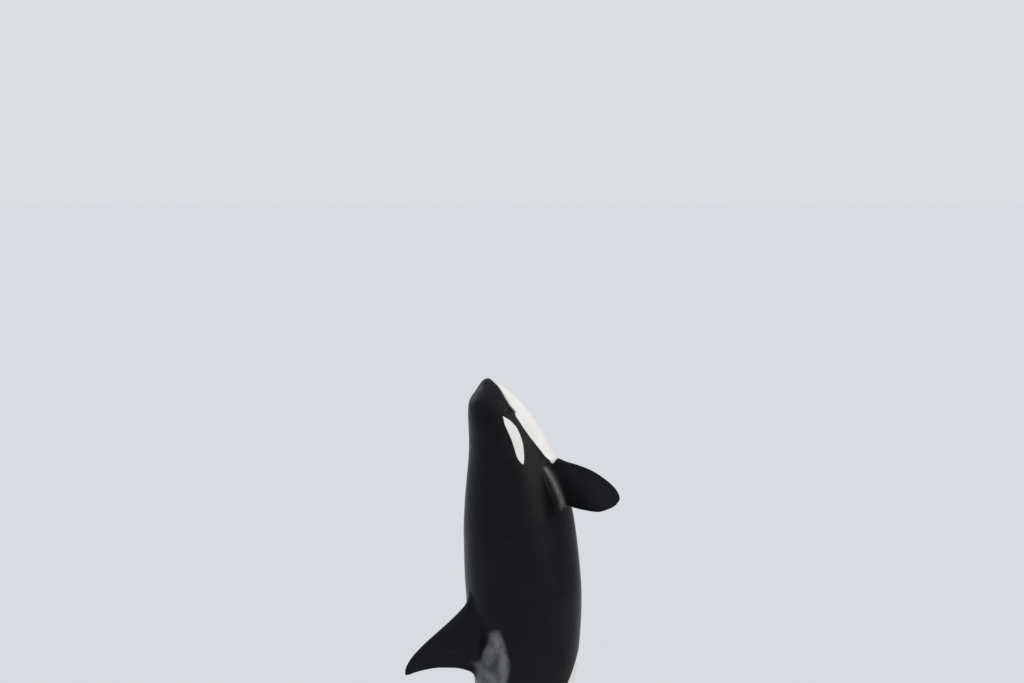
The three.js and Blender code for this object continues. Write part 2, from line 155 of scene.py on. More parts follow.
NAVEL = {"along": 2.85, "long": 0.034, "wide": 0.012, "depth": 0.009}
VENT = {"along": 4.12, "long": 0.016, "wide": 0.01, "depth": 0.009}
# The raised rim round a dimple, in its own half widths, and how much tighter its middle of painted shade is
DIMPLE_RIM = {"height": 0.45, "off": 1.7, "reach": 0.6}
DIMPLE_SHADE = 1.2
GENITAL_SLIT = {"from": 3.78, "to": 3.99, "side": 0, "depth": 0.013, "reach": 0.006, "end": 0.15}
MAMMARY_SLIT = {"from": 3.85, "to": 3.93, "side": 0.058, "depth": 0.006, "reach": 0.005, "end": 0.2}
GENITAL_SWELLING = {"height": 0.006, "reach": 0.035}
SLIT_PLACES = 16

# The parts of the body that each relief can reach: along it, and beside its middle
MOUTH_ZONE = (-1, 0.5)
BLOWHOLE_ZONE = (0.45, 0.8)
BELLY_ZONE = (2.7, 4.3)
NEAR_MIDDLE = 0.2

FIN_NOSE_WEIGHT = 0.3
FIN_SIDES = 72
FIN_RINGS = 80

PECTORAL = {
    "along": 1.235,
    "angle": math.radians(123),
    "droop": math.radians(20),
    "sweep": math.radians(3),
}
# Span from the root, then the leading edge, the trailing edge and the thickness
PECTORAL_STATIONS = (
    (-0.15, -0.285, 0.168, 0.15),
    (0, -0.3, 0.172, 0.126),
    (0.07, -0.311, 0.183, 0.1),
    (0.13, -0.296, 0.202, 0.084),
    (0.2, -0.275, 0.218, 0.074),
    (0.33, -0.249, 0.24, 0.062),
    (0.56, -0.187, 0.261, 0.046),
    (0.74, -0.103, 0.228, 0.034),
    (0.86, -0.024, 0.184, 0.024),
    (0.905, 0.02, 0.151, 0.016),
    (0.928, 0.056, 0.13, 0.01),
    (0.937, 0.084, 0.112, 0.005),
)

DORSAL_ROOT = 2.7
DORSAL_STATIONS = (
    (-0.14, 2.12, 3.24, 0.15),
    (0, 2.29, 3.16, 0.118),
    (0.09, 2.4, 3.112, 0.088),
    (0.22, 2.52, 3.088, 0.07),
    (0.38, 2.652, 3.084, 0.052),
    (0.54, 2.788, 3.104, 0.038),
    (0.67, 2.922, 3.14, 0.028),
    (0.735, 3.014, 3.164, 0.019),
    (0.763, 3.076, 3.166, 0.012),
    (0.772, 3.116, 3.15, 0.007),
)

# Span from the midline, then the leading edge, the trailing edge and the thickness of each fluke
FLUKE_STATIONS = (
    (0, 5.4, 5.962, 0.112),
    (0.04, 5.412, 5.982, 0.104),
    (0.09, 5.452, 6.02, 0.084),
    (0.2, 5.548, 6.064, 0.062),
    (0.34, 5.658, 6.084, 0.046),
    (0.5, 5.784, 6.086, 0.034),
    (0.66, 5.908, 6.088, 0.023),
    (0.76, 6, 6.098, 0.015),
    (0.812, 6.062, 6.108, 0.01),
    (0.828, 6.096, 6.112, 0.006),
)

# Stand: a base plate and two slanting rods, each with a bolted foot, a collar and a rolled rim at the skin
BASE = {"half_length": 1.3, "half_width": 1, "thickness": 0.08, "corner": 0.26, "edge": 0.012}
BASE_CORNER_SIDES = 24
BASE_EDGE_STEPS = 6
RODS = {
    "belly": {"foot_x": 1, "meets": 4.4, "angle": math.pi},
    "back": {"foot_x": -1.08, "meets": 4.2, "angle": 0},
}
ROD = {"radius": 0.048, "sides": 72, "under_skin": 0.11}
COLLAR = {"radius": 0.076, "length": 0.13, "edge": 0.006}
FOOT = {"radius": 0.165, "height": 0.026, "edge": 0.006}
RIM_RADIUS = 0.009
WELD_RADIUS = 0.007
BEAD_SIDES = 14
RIM_HALVINGS = 24
BOLTS = {"count": 6, "circle": 0.124, "radius": 0.0175, "height": 0.014, "edge": 0.002, "sides": 6}
WASHER = {"radius": 0.025, "height": 0.0035, "sides": 32}
# How close to a corner the shading is held crisp
CRISP = 0.0015

# How a fin spreads at its root, and how its join is smoothed: how far from it, how hard and how often, and
# how many points of the seam are measured from at once
FLARE = {"height": 0.045, "reach": 0.03, "depth": 0.01}
FILLET_REACH = 0.11
FILLET_PULL = 0.9
FILLET_ROUNDS = 90
SEAM_PART = 40


def smooth_curve(points):
    """A monotone cubic through a few points, as a function of arrays."""
    x = np.array([p[0] for p in points], float)
    y = np.array([p[1] for p in points], float)
    step = np.diff(x)
    slope = np.diff(y) / step
    tangent = np.zeros(len(x))
    tangent[0] = slope[0]
    tangent[-1] = slope[-1]
    for i in range(1, len(x) - 1):
        if slope[i - 1] * slope[i] > 0:
            before = 2 * step[i] + step[i - 1]
            after = step[i] + 2 * step[i - 1]
            tangent[i] = (before + after) / (before / slope[i - 1] + after / slope[i])

    def curve(at):
        at = np.clip(at, x[0], x[-1])
        i = np.clip(np.searchsorted(x, at, side="left") - 1, 0, len(step) - 1)
        u = (at - x[i]) / step[i]
        start = (1 + 2 * u) * (1 - u) ** 2 * y[i] + u * (1 - u) ** 2 * step[i] * tangent[i]
        end = u * u * (3 - 2 * u) * y[i + 1] + u * u * (u - 1) * step[i] * tangent[i + 1]
        return start + end

    return curve


def body_curve(column):
    """A column of the stations over the square root of "along", which rounds the snout off."""
    curve = smooth_curve([(math.sqrt(row[0]), row[column]) for row in STATIONS])
    return lambda along: curve(np.sqrt(np.maximum(along, 0)))


back_height, belly_depth, half_width, roundness = (body_curve(column) for column in (1, 2, 3, 4))
mouth_rise = smooth_curve(MOUTH_LINE)


def lean(along):
    """The centreline's lean from straight down, towards +X."""
    flexed = np.maximum(0, along - TAIL_FLEX_START) / (BODY_LENGTH - TAIL_FLEX_START)
    return SNOUT_LEAN - ARCH_PER_METRE * along + TAIL_FLEX_TURN * flexed**2


# The centreline, step by step to a little beyond the tail
LINE_STEP = 0.01
LINE_END = 6.4
LINE_PLACES = np.arange(0, LINE_END, LINE_STEP)
# The stretch of it in which a point's nearest place is sought, and in how many steps
SOUGHT = (-0.2, 6.3)
SOUGHT_STEPS = 8
line_turns = lean(LINE_PLACES[:-1] + LINE_STEP / 2)
line_steps = np.stack((np.sin(line_turns), -np.cos(line_turns)), 1) * LINE_STEP
CENTRELINE = SNOUT + np.vstack(((0, 0), np.cumsum(line_steps, 0)))


def place(along, side, rise):
    """Points given along, beside and above the centreline."""
    turn = lean(np.maximum(0, along))
    x = np.interp(along, LINE_PLACES, CENTRELINE[:, 0]) - rise * np.cos(turn)
    z = np.interp(along, LINE_PLACES, CENTRELINE[:, 1]) - rise * np.sin(turn)
    return np.stack(np.broadcast_arrays(x, side, z), -1)


def body_coordinates(points):
    """Along, side and rise of points in space: the reverse of place."""
    along = np.clip(SNOUT[1] - points[:, 2], 0, BODY_LENGTH)
    for _ in range(SOUGHT_STEPS):
        turn = lean(along)
        off_x = points[:, 0] - np.interp(along, LINE_PLACES, CENTRELINE[:, 0])
        off_z = points[:, 2] - np.interp(along, LINE_PLACES, CENTRELINE[:, 1])
        along = np.clip(along + off_x * np.sin(turn) - off_z * np.cos(turn), *SOUGHT)
    rise = -off_x * np.cos(turn) - off_z * np.sin(turn)
    return along, points[:, 1], rise


def crease_depth(along, angle):
    swept = 1 - np.cos(angle)
    off = (along - CREASE_ALONG - CREASE_SWEEP * swept) / (CREASE_REACH + CREASE_WIDENING * swept)
    fade = np.maximum(np.cos(angle), 0) ** 3
    return CREASE_DEPTH * fade * np.exp(-(off**2))


TINY = 1e-6


def signed_power(value, power):
    return np.sign(value) * np.abs(value) ** power


def skin(along, angle):
    """Points of the skin, without its finer relief."""
    crease = crease_depth(along, angle)
    back = back_height(along) - crease
    belly = belly_depth(along) - crease
    power = 2 / roundness(along)
    side = (half_width(along) - crease) * signed_power(np.sin(angle), power)
    rise = (back - belly) / 2 + (back + belly) / 2 * signed_power(np.cos(angle), power)
    return place(along, side, rise)


def middle_and_half(along):
    """The rise of the middle of the body's section, and half the section's height."""
    back = back_height(along)
    belly = belly_depth(along)
    return (back - belly) / 2, (back + belly) / 2


def round_body(along, side, rise):
    """The angle round the body of any points, and how far out they lie: 1 is on the skin."""
    middle, half = middle_and_half(along)
    up = (rise - middle) / np.maximum(half, TINY)
    over = side / np.maximum(half_width(along), TINY)
    n = roundness(along)
    angle = np.arctan2(signed_power(over, n / 2), signed_power(up, n / 2))
    return angle, (np.abs(up) ** n + np.abs(over) ** n) ** (1 / n)


def round_and_out(points):
    """Points as along, side, rise, the angle round the body, and how far they stand out of the skin."""
    along, side, rise = body_coordinates(points)
    angle, out = round_body(along, np.abs(side), rise)
    stands_out = (out - 1) * np.minimum(half_width(along), back_height(along))
    return along, side, rise, angle, stands_out


def angle_at(along, rise):
    """The angle round the body at which the skin has a given rise, on the left side."""
    middle, half = middle_and_half(along)
    share = np.clip((rise - middle) / half, -1, 1)
    return np.arccos(signed_power(share, roundness(along) / 2))


NUDGE_ALONG = 0.0015
NUDGE_ANGLE = 0.01


def unit(vectors):
    return vectors / np.maximum(np.linalg.norm(vectors, axis=-1, keepdims=True), 1e-12)


def skin_directions(along, angle):
    """The directions along the skin towards the tail, and straight out of it."""
    nudge = np.minimum(NUDGE_ALONG, along / 2)
    tailward = unit(skin(along + nudge, angle) - skin(along - nudge, angle))
    across = skin(along, angle + NUDGE_ANGLE) - skin(along, angle - NUDGE_ANGLE)
    return tailward, unit(np.cross(across, tailward))


def smooth_step(value):
    value = np.clip(value, 0, 1)
    return value * value * (3 - 2 * value)


def bell(value):
    return np.exp(-(value**2))


def full_turn(count):
    return np.linspace(0, 2 * math.pi, count, endpoint=False)


def between(values, limits):
    return (values > limits[0]) & (values < limits[1])


def path_distance(points, path):
    """Each point's distance to a path, and where on the path, from 0 to 1, the nearest place is."""
    nearest = np.full(len(points), np.inf)
    where = np.zeros(len(points))
    for i in range(len(path) - 1):
        step = path[i + 1] - path[i]
        share = np.clip((points - path[i]) @ step / (step @ step), 0, 1)
        distance = np.linalg.norm(points - path[i] - share[:, None] * step, axis=1)
        closer = distance < nearest
        nearest[closer] = distance[closer]
        where[closer] = (i + share[closer]) / (len(path) - 1)
    return nearest, where


# Relief of the skin, worked out on points folded to the left side. Each function gives metres outwards, and
# how much painted shade darkens the place, from 0 to 1.
def mouth_path():
    """The line of the mouth on the skin, from its front to just beyond its corner."""
    fronts = np.linspace(0, MOUTH_FRONT["before"], MOUTH_FRONT["steps"])
    front = fronts[np.argmax(belly_depth(fronts) >= -mouth_rise(fronts))]
    share = np.linspace(0, 1, MOUTH_PATH["places"]) ** MOUTH_PATH["crowding"]
    along = front + (MOUTH_CORNER[0] - front) * share
    angle = angle_at(along, mouth_rise(along))
    angle[0] = math.pi
    beyond = MOUTH_CORNER[0] + MOUTH_BEYOND_CORNER
    along = np.append(along, beyond)
    angle = np.append(angle, angle_at(beyond, MOUTH_CORNER[1]))
    return skin(along, angle)


def mouth_relief(points):
    distance, where = path_distance(points, mouth_path())
    fade = smooth_step((1 - where) / MOUTH_GROOVE["end"])
    lips = LIP["height"] * bell((distance - LIP["off"]) / LIP["reach"])
    groove = MOUTH_GROOVE["depth"] * bell(distance / MOUTH_GROOVE["reach"])
    return (lips - groove) * fade, bell(distance / MOUTH_GROOVE["painted_shade_reach"]) * fade


def blowhole_relief(points):
    turn = np.linspace(0, BLOWHOLE["spread"], BLOWHOLE["places"])
    along = BLOWHOLE["along"] + BLOWHOLE["radius"] * (np.cos(turn) - 1)
    side = BLOWHOLE["radius"] * np.sin(turn)
    distance, where = path_distance(points, skin(along, np.arcsin(side / half_width(along))))
    fade = smooth_step((1 - where) / BLOWHOLE_SLIT["end"])
    swelling = BLOWHOLE_SWELLING["height"] * bell(distance / BLOWHOLE_SWELLING["reach"])
    slit = BLOWHOLE_SLIT["depth"] * bell(distance / BLOWHOLE_SLIT["reach"]) * fade
    return swelling - slit, bell(distance / BLOWHOLE_SLIT["painted_shade_reach"]) * fade


def dimple_relief(points, spot):
    centre = skin(spot["along"], math.pi)
    tailward, _ = skin_directions(np.array(spot["along"]), np.array(math.pi))
    down = (points - centre) @ tailward
    across = np.linalg.norm(points - centre - down[:, None] * tailward, axis=1)
    off = np.hypot(down / spot["long"], across / spot["wide"])
    rim = DIMPLE_RIM["height"] * bell((off - DIMPLE_RIM["off"]) / DIMPLE_RIM["reach"])
    return spot["depth"] * (rim - bell(off)), bell(DIMPLE_SHADE * off)


def slit_relief(points, slit):
    """A slit's groove, its painted shade, and the distance to it."""
    along = np.linspace(slit["from"], slit["to"], SLIT_PLACES)
    path = skin(along, math.pi - np.arcsin(slit["side"] / half_width(along)))
    distance, where = path_distance(points, path)
    fade = smooth_step(where / slit["end"]) * smooth_step((1 - where) / slit["end"])
    shade = bell(distance / slit["reach"]) * fade
    return -slit["depth"] * shade, shade, distance


def belly_relief(points):
    relief, dark, distance = slit_relief(points, GENITAL_SLIT)
    relief += GENITAL_SWELLING["height"] * bell(distance / GENITAL_SWELLING["reach"])
    others = [slit_relief(points, MAMMARY_SLIT)[:2]]
    others += [dimple_relief(points, spot) for spot in (NAVEL, VENT)]
    for raised, shade in others:
        relief += raised
        dark = np.maximum(dark, shade)
    return relief, dark


def eye_axes():
    """The place of the left eye on the skin, and its directions: tailward, across and outward."""
    along = np.array(EYE["along"])
    angle = angle_at(along, EYE["rise"])
    tailward, out = skin_directions(along, angle)
    return skin(along, angle), np.array((tailward, np.cross(out, tailward), out))


def with_lids(points):
    """Points near the left eye, raised into lids round the opening and sunk behind the eyeball inside it;
    painted shade at the lids' inner edge.
    """
    centre, axes = eye_axes()
    down, across, out = ((points - centre) @ axes.T).T
    off = np.hypot(down, across)
    half_length, half_height = EYE_OPENING
    curve = (half_length**2 + half_height**2) / (2 * half_height)
    gap = np.hypot(down, np.abs(across) + curve - half_height) - curve
    ball = np.sqrt(np.maximum(EYE["radius"] ** 2 - off**2, 0)) - EYE["sunk"]
    risen = np.where(gap > 0, LID["thick"] * np.tanh(LID["slope"] * gap / LID["thick"]), LID["slope"] * gap)
    lid = np.maximum(ball, LID["floor"]) + np.maximum(risen, -LID["behind"])
    share = smooth_step((LID["reach"] - gap) / (LID["reach"] - LID["full"]))
    out += BROW["height"] * bell(off / BROW["reach"])
    out = out * (1 - share) + lid * share
    uneven = 1 - LID_FOLD_UNEVEN + LID_FOLD_UNEVEN * down / np.maximum(off, TINY)
    for place_off, depth, reach in LID_FOLDS:
        out -= depth * bell((gap - place_off) / reach) * uneven
    shade = smooth_step((LID_SHADE["edge"] - gap) / LID_SHADE["blur"])
    return centre + np.stack((down, across, out), -1) @ axes, shade


def side_angles(along):
    """The angles of the mesh's sides, all round the body, at each of the given places along it."""
    half_turn = np.linspace(0, math.pi, CROWDING_STEPS)
    closeness = np.ones_like(half_turn)
    for angle, reach, closer in CROWDED_SIDES:
        closeness += closer * bell((half_turn - angle) / reach)
    count = np.concatenate(((0,), np.cumsum((closeness[1:] + closeness[:-1]) / 2)))
    side = np.interp(np.linspace(0, count[-1], HALF_ROUND_SIDES + 1), count, half_turn)
    mouth = np.maximum(angle_at(along, mouth_rise(along)) - MOUTH_SIDE, 0)
    mouth = np.minimum(mouth, FOLLOWED_TURN)
    straight = smooth_step((along - STRAIGHTENS[0]) / (STRAIGHTENS[1] - STRAIGHTENS[0]))
    pull = np.minimum(side / MOUTH_SIDE, (math.pi - side) / (math.pi - MOUTH_SIDE))
    left = side + (mouth * (1 - straight))[:, None] * pull
    return np.concatenate((left, 2 * math.pi - left[:, -2:0:-1]), 1)


def body_mesh():
    """Points, faces and painted shade of the body: rings from the snout to the end of the tail stock."""
    rings = [RING_SPACINGS[0][0] * (np.arange(1, SNOUT_RINGS) / SNOUT_RINGS) ** 2]
    for start, end, spacing in RING_SPACINGS:
        rings.append(np.linspace(start, end, round((end - start) / spacing), endpoint=False))
    rings = np.concatenate(rings)
    angle = side_angles(rings)
    shape = angle.shape
    along = np.repeat(rings, shape[1])
    angle = angle.ravel()
    points = skin(along, angle)
    out = skin_directions(along, angle)[1]
    mirror = np.where(points[:, 1] < 0, -1.0, 1.0)
    points[:, 1] *= mirror
    out[:, 1] *= mirror
    # How much painted shade each point gets, darkening grooves, slits, dimples and the lids' inner edge
    dark = np.zeros(len(points))
    near_middle = points[:, 1] < NEAR_MIDDLE
    zones = (
        (mouth_relief, between(along, MOUTH_ZONE)),
        (blowhole_relief, between(along, BLOWHOLE_ZONE) & near_middle),
        (belly_relief, between(along, BELLY_ZONE) & near_middle & (np.cos(angle) < 0)),
    )
    for relief_of, zone in zones:
        relief, shade = relief_of(points[zone])
        points[zone] += out[zone] * relief[:, None]
        dark[zone] = np.maximum(dark[zone], shade)
    zone = np.linalg.norm(points - eye_axes()[0], axis=1) < EYE_ZONE
    points[zone], shade = with_lids(points[zone])
    dark[zone] = np.maximum(dark[zone], shade)
    points[:, 1] *= mirror
    ends = (place(0, 0, 0), place(STATIONS[-1][0], 0, 0))
    return loft(points.reshape(*shape, 3), ends), np.concatenate((dark, (0, 0)))


def loft(rings, ends):
    """Points and faces of a closed surface through rings of points, with a point or None for each end."""
    count, sides, _ = rings.shape
    points = [rings.reshape(-1, 3)]
    row = np.arange(sides)
    following = (row + 1) % sides
    start = np.arange(count - 1)[:, None] * sides
    quads = np.stack((start + row, start + following, start + sides + following, start + sides + row), -1)
    faces = quads.reshape(-1, 4).tolist()
    for end, first, is_last in ((ends[0], 0, False), (ends[1], (count - 1) * sides, True)):
        loop = first + row
        after = first + following
        if end is None:
            faces.append(loop.tolist() if is_last else loop[::-1].tolist())
            continue
        hub = sum(len(part) for part in points)
        points.append(np.array(end, float).reshape(1, 3))
        for here, there in zip(loop.tolist(), after.tolist()):
            faces.append((hub, here, there) if is_last else (hub, there, here))
    return np.concatenate(points), faces


def fin_curves(stations):
    """A fin's leading edge, trailing edge and thickness over its span. The arcsine rounds its tip."""
    tip = stations[-1][0]

    def over_span(column):
        curve = smooth_curve([(math.asin(row[0] / tip), row[column]) for row in stations])
        return lambda span: curve(np.arcsin(span / tip))

    return (over_span(column) for column in (1, 2, 3))


def fin_spans(stations):
    """The spans of a fin's sections, from its root to just before its tip."""
    first, tip = stations[0][0], stations[-1][0]
    return first + (tip - first) * np.sin(np.linspace(0, math.pi / 2, FIN_RINGS, endpoint=False))


def fin_sections(stations, span):
    """Chord and thickness round a fin's sections at the given spans, and the chord of the tip's middle."""
    leading, trailing, thickness = fin_curves(stations)
    turn = full_turn(FIN_SIDES)
    middle = ((leading(span) + trailing(span)) / 2)[:, None]
    reach = ((trailing(span) - leading(span)) / 2)[:, None]
    bulge = np.sin(turn) * (1 + FIN_NOSE_WEIGHT * np.cos(turn))
    tip = stations[-1][0]
    tip_middle = (leading(tip) + trailing(tip)) / 2
    return middle - reach * np.cos(turn), thickness(span)[:, None] / 2 * bulge, tip_middle


def flared(rings, across):
    """The rings of a fin, spread across it where they come out of the body."""
    stands_out = round_and_out(rings.reshape(-1, 3))[-1]
    near = np.exp(-np.maximum(stands_out, -FLARE["depth"]) / FLARE["reach"])
    spread = FLARE["height"] * near.reshape(rings.shape[:2]) * np.sin(full_turn(FIN_SIDES))
    return rings + spread[..., None] * across


def pectoral_axes():
    """The middle of the left flipper's root, and its directions: along the span, tailward and across."""
    turn = lean(PECTORAL["along"])
    tailward = np.array((math.sin(turn), 0, -math.cos(turn)))
    bellyward = np.array((math.cos(turn), 0, math.sin(turn)))
    spanway = np.array((0, math.cos(PECTORAL["droop"]), 0)) + bellyward * math.sin(PECTORAL["droop"])
    spanway = unit(spanway + tailward * math.sin(PECTORAL["sweep"]))
    root = skin(np.array(PECTORAL["along"]), np.array(PECTORAL["angle"]))
    return root, np.array((spanway, tailward, unit(np.cross(spanway, tailward))))


def pectoral_fin(mirror):
    span = fin_spans(PECTORAL_STATIONS)
    chord, thick, tip_middle = fin_sections(PECTORAL_STATIONS, span)
    root, axes = pectoral_axes()
    rings = root + np.stack(np.broadcast_arrays(span[:, None], chord, thick), -1) @ axes
    rings = flared(rings, axes[2])
    tip = root + np.array((PECTORAL_STATIONS[-1][0], tip_middle, 0)) @ axes
    return loft(rings * (1, mirror, 1), (None, tip * (1, mirror, 1)))


def dorsal_fin():
    span = fin_spans(DORSAL_STATIONS)
    chord, thick, tip_middle = fin_sections(DORSAL_STATIONS, span)
    back = back_height(DORSAL_ROOT)
    rings = flared(place(chord, thick, back + span[:, None]), (0, 1, 0))
    return loft(rings, (None, place(tip_middle, 0, back + DORSAL_STATIONS[-1][0])))


def flukes():
    """Both flukes in one, from the right tip to the left."""
    tip = FLUKE_STATIONS[-1][0]
    span = tip * np.sin(np.linspace(-math.pi / 2, math.pi / 2, 2 * FIN_RINGS + 1)[1:-1])
    chord, thick, tip_middle = fin_sections(FLUKE_STATIONS, np.abs(span))
    rings = place(chord, span[:, None], thick)
    return loft(rings, (place(tip_middle, -tip, 0), place(tip_middle, tip, 0)))


def new_object(name, data):
    """An object in the scene."""
    made = bpy.data.objects.new(name, data)
    bpy.context.scene.collection.objects.link(made)
    return made


def mesh_object(name, points, faces):
    mesh = bpy.data.meshes.new(name)
    mesh.from_pydata(points.tolist(), [], faces)
    mesh.update()
    shape = bmesh.new()
    shape.from_mesh(mesh)
    bmesh.ops.recalc_face_normals(shape, faces=shape.faces)
    shape.to_mesh(mesh)
    shape.free()
    return new_object(name, mesh)


def read(items, name, kind, width=1):
    """One property of all items of a mesh, as an array."""
    values = np.empty(width * len(items), kind)
    items.foreach_get(name, values)
    return values.reshape(-1, width) if width > 1 else values


def fill(items, name, value):
    """Give one property of all items of a mesh the same value."""
    items.foreach_set(name, np.full(len(items), value))


def write_points(mesh, points):
    mesh.vertices.foreach_set("co", points.ravel())
    mesh.update()


def set_attribute(mesh, name, values, kind="FLOAT", part="value"):
    layer = mesh.attributes.new(name, kind, "POINT")
    layer.data.foreach_set(part, np.ascontiguousarray(values.ravel(), dtype=np.float32))


# Markings. Outlines are given on the left side as along and degrees round the body.
EYE_PATCH = (
    (0.4, 80.6), (0.454, 88), (0.505, 91.3), (0.554, 93.1), (0.642, 92.9), (0.727, 91.6),
    (0.81, 89.3), (0.891, 86.6), (0.927, 84.2), (0.89, 81), (0.836, 78.9), (0.751, 78.5),
    (0.664, 78.5), (0.575, 77.7), (0.486, 77.4), (0.42, 79.6),
)
THROAT_AND_BELLY = (
    (0.3, 125), (0.37, 108), (0.429, 103), (0.492, 103.3), (0.574, 104.3), (0.681, 107.6),
    (0.787, 112.3), (0.893, 117.9), (0.935, 119.6), (0.987, 117.2), (1.03, 124), (1.15, 135),
    (1.32, 144), (1.6, 151), (2.1, 154.5), (2.6, 154), (2.95, 150), (3.15, 152), (3.4, 158),
    (3.75, 162), (4.05, 165), (4.28, 171), (4.36, 180), (4.36, 220), (3, 240), (1, 240),
    (0.3, 240), (0.22, 200),
)
FLANK = (
    (2.75, 165), (2.9, 150), (3.1, 138), (3.35, 124), (3.62, 111), (3.9, 101), (4.2, 94),
    (4.45, 91), (4.56, 93.5), (4.45, 98), (4.2, 106), (3.95, 117), (3.72, 130), (3.52, 143),
    (3.35, 153), (3.1, 168),
)
SADDLE = (
    (3.06, -25), (3.03, 8), (2.9, 20), (2.74, 31), (2.68, 40), (2.78, 47), (3, 50), (3.25, 49),
    (3.5, 43), (3.72, 33), (3.86, 20), (3.93, 0), (3.93, -25),
)
# The black round a flipper's root, an ellipse across its span. The white reaches onto it in front: span and
# chord of a place on that edge, and its slant.
FLIPPER_BLACK = {"middle": -0.062, "half_chord": 0.265, "half_thickness": 0.082}
WHITE_REACHES = {"span": 0.038, "chord": -0.254, "slant": math.radians(41)}
# A raised fold of skin beside the flipper's root, made paler by a painted sheen: along and degrees round the
# body
FLIPPER_FOLD = ((0.99, 109.4), (1.06, 111.2), (1.133, 112.8), (1.264, 115.3), (1.372, 118), (1.5, 121.6))
FOLD = {"height": 0.011, "reach": 0.02, "narrows": 0.3, "start": 0.12, "end": 0.2}
# How far along the body and out of it the fold is looked for, and how it fades on the flipper
FOLD_ZONE = {"beyond": 0.1, "out": 0.1, "fade": 0.05}
# The white under the flukes: its distances from their edges, and how they grow with the span
FLUKE_WHITE = {"from_leading": 0.03, "from_trailing": 0.045, "widening": 0.03, "rounding": 0.012}
FLUKE_WHITE_ENDS = {"span": 0.74, "starts": 5.5, "slant": 0.5}
# Where the white turns to black on their edge: share of the thickness, and how sharply
FLUKE_WHITE_SIDE = {"below": 0.12, "sharpness": 2.5}
SADDLE_ON_FIN = 0.03
OUTLINE_STEPS = 14
MARKING_REACH = 0.12
# How far round a marking its distances are worked out: metres along the body, radians round it
MARKING_MARGIN = (0.12, 0.6)


def closed_outline(corners):
    """A smooth closed curve through the corners of a marking, as along and radians round the body."""
    corners = np.array(corners, float)
    corners[:, 1] = np.radians(corners[:, 1])
    curve = []
    for i in range(len(corners)):
        before, start, end, after = (corners[(i + k) % len(corners)] for k in (-1, 0, 1, 2))
        u = np.linspace(0, 1, OUTLINE_STEPS, endpoint=False)[:, None]
        bend = 2 * before - 5 * start + 4 * end - after
        twist = 3 * start - before - 3 * end + after
        curve.append(start + (end - before) / 2 * u + bend / 2 * u**2 + twist / 2 * u**3)
    return np.concatenate(curve)


def signed(zone, inside, points, path):
    """Distances of the zone's points to a path, negative where they aren't inside, for all points."""
    distance, _ = path_distance(points, path)
    found = np.full(len(zone), -MARKING_REACH)
    found[zone] = np.where(inside, 1, -1) * np.minimum(distance, MARKING_REACH)
    return found


def marking(along, angle, corners):
    """How far points lie inside a marking, in metres. Outside it this is negative, down to the reach."""
    outline = closed_outline(corners)
    lowest = outline.min(0) - MARKING_MARGIN
    highest = outline.max(0) + MARKING_MARGIN
    zone = between(along, (lowest[0], highest[0])) & between(angle, (lowest[1], highest[1]))
    inside = np.zeros(zone.sum(), bool)
    at = along[zone]
    turned = angle[zone]
    for start, end in zip(outline, np.roll(outline, -1, 0)):
        crosses = (start[0] > at) != (end[0] > at)
        if crosses.any():
            edge = start[1] + (at - start[0]) * (end[1] - start[1]) / (end[0] - start[0])
            inside ^= crosses & (turned < edge)
    loop = np.vstack((outline, outline[:1]))
    return signed(zone, inside, skin(at, turned), skin(loop[:, 0], loop[:, 1]))


def chin(along, angle):
    """How far points lie below the line of the mouth, in metres."""
    zone = along < MOUTH_CORNER[0] + MARKING_REACH
    at = along[zone]
    turned = angle[zone]
    below = (turned > angle_at(at, mouth_rise(at))) & (at < MOUTH_CORNER[0])
    return signed(zone, below, skin(at, turned), mouth_path())


def rounded_least(distances, radius):
    """The least of several distances, with the corners between them rounded off."""
    return -radius * np.log(sum(np.exp(-distance / radius) for distance in distances))


def fluke_white(along, side, rise):
    """How far points lie inside the white of the flukes' belly side, in metres."""
    leading, trailing, thickness = fin_curves(FLUKE_STATIONS)
    span = np.minimum(np.abs(side), FLUKE_STATIONS[-1][0])
    insides = (
        along - leading(span) - FLUKE_WHITE["from_leading"] - FLUKE_WHITE["widening"] * span,
        trailing(span) - along - FLUKE_WHITE["from_trailing"],
        FLUKE_WHITE_ENDS["span"] - span,
        along - FLUKE_WHITE_ENDS["starts"] - FLUKE_WHITE_ENDS["slant"] * span,
    )
    inside = np.clip(rounded_least(insides, FLUKE_WHITE["rounding"]), -MARKING_REACH, MARKING_REACH)
    below = -rise - FLUKE_WHITE_SIDE["below"] * thickness(span)
    return np.minimum(inside, FLUKE_WHITE_SIDE["sharpness"] * below)


def flipper_black(points):
    """How far points lie outside the black skin round a flipper's root, in metres."""
    root, axes = pectoral_axes()
    span, chord, thick = ((points - root) @ np.linalg.inv(axes)).T
    off_span = (WHITE_REACHES["span"] - span) * math.cos(WHITE_REACHES["slant"])
    in_front = off_span + (WHITE_REACHES["chord"] - chord) * math.sin(WHITE_REACHES["slant"])
    chord = (chord - FLIPPER_BLACK["middle"]) / FLIPPER_BLACK["half_chord"]
    thick = thick / FLIPPER_BLACK["half_thickness"]
    off = np.hypot(chord, thick)
    steepness = np.hypot(chord / FLIPPER_BLACK["half_chord"], thick / FLIPPER_BLACK["half_thickness"])
    beside = (off - 1) * off / np.maximum(steepness, TINY)
    return np.clip(np.maximum(beside, in_front), -MARKING_REACH, MARKING_REACH)


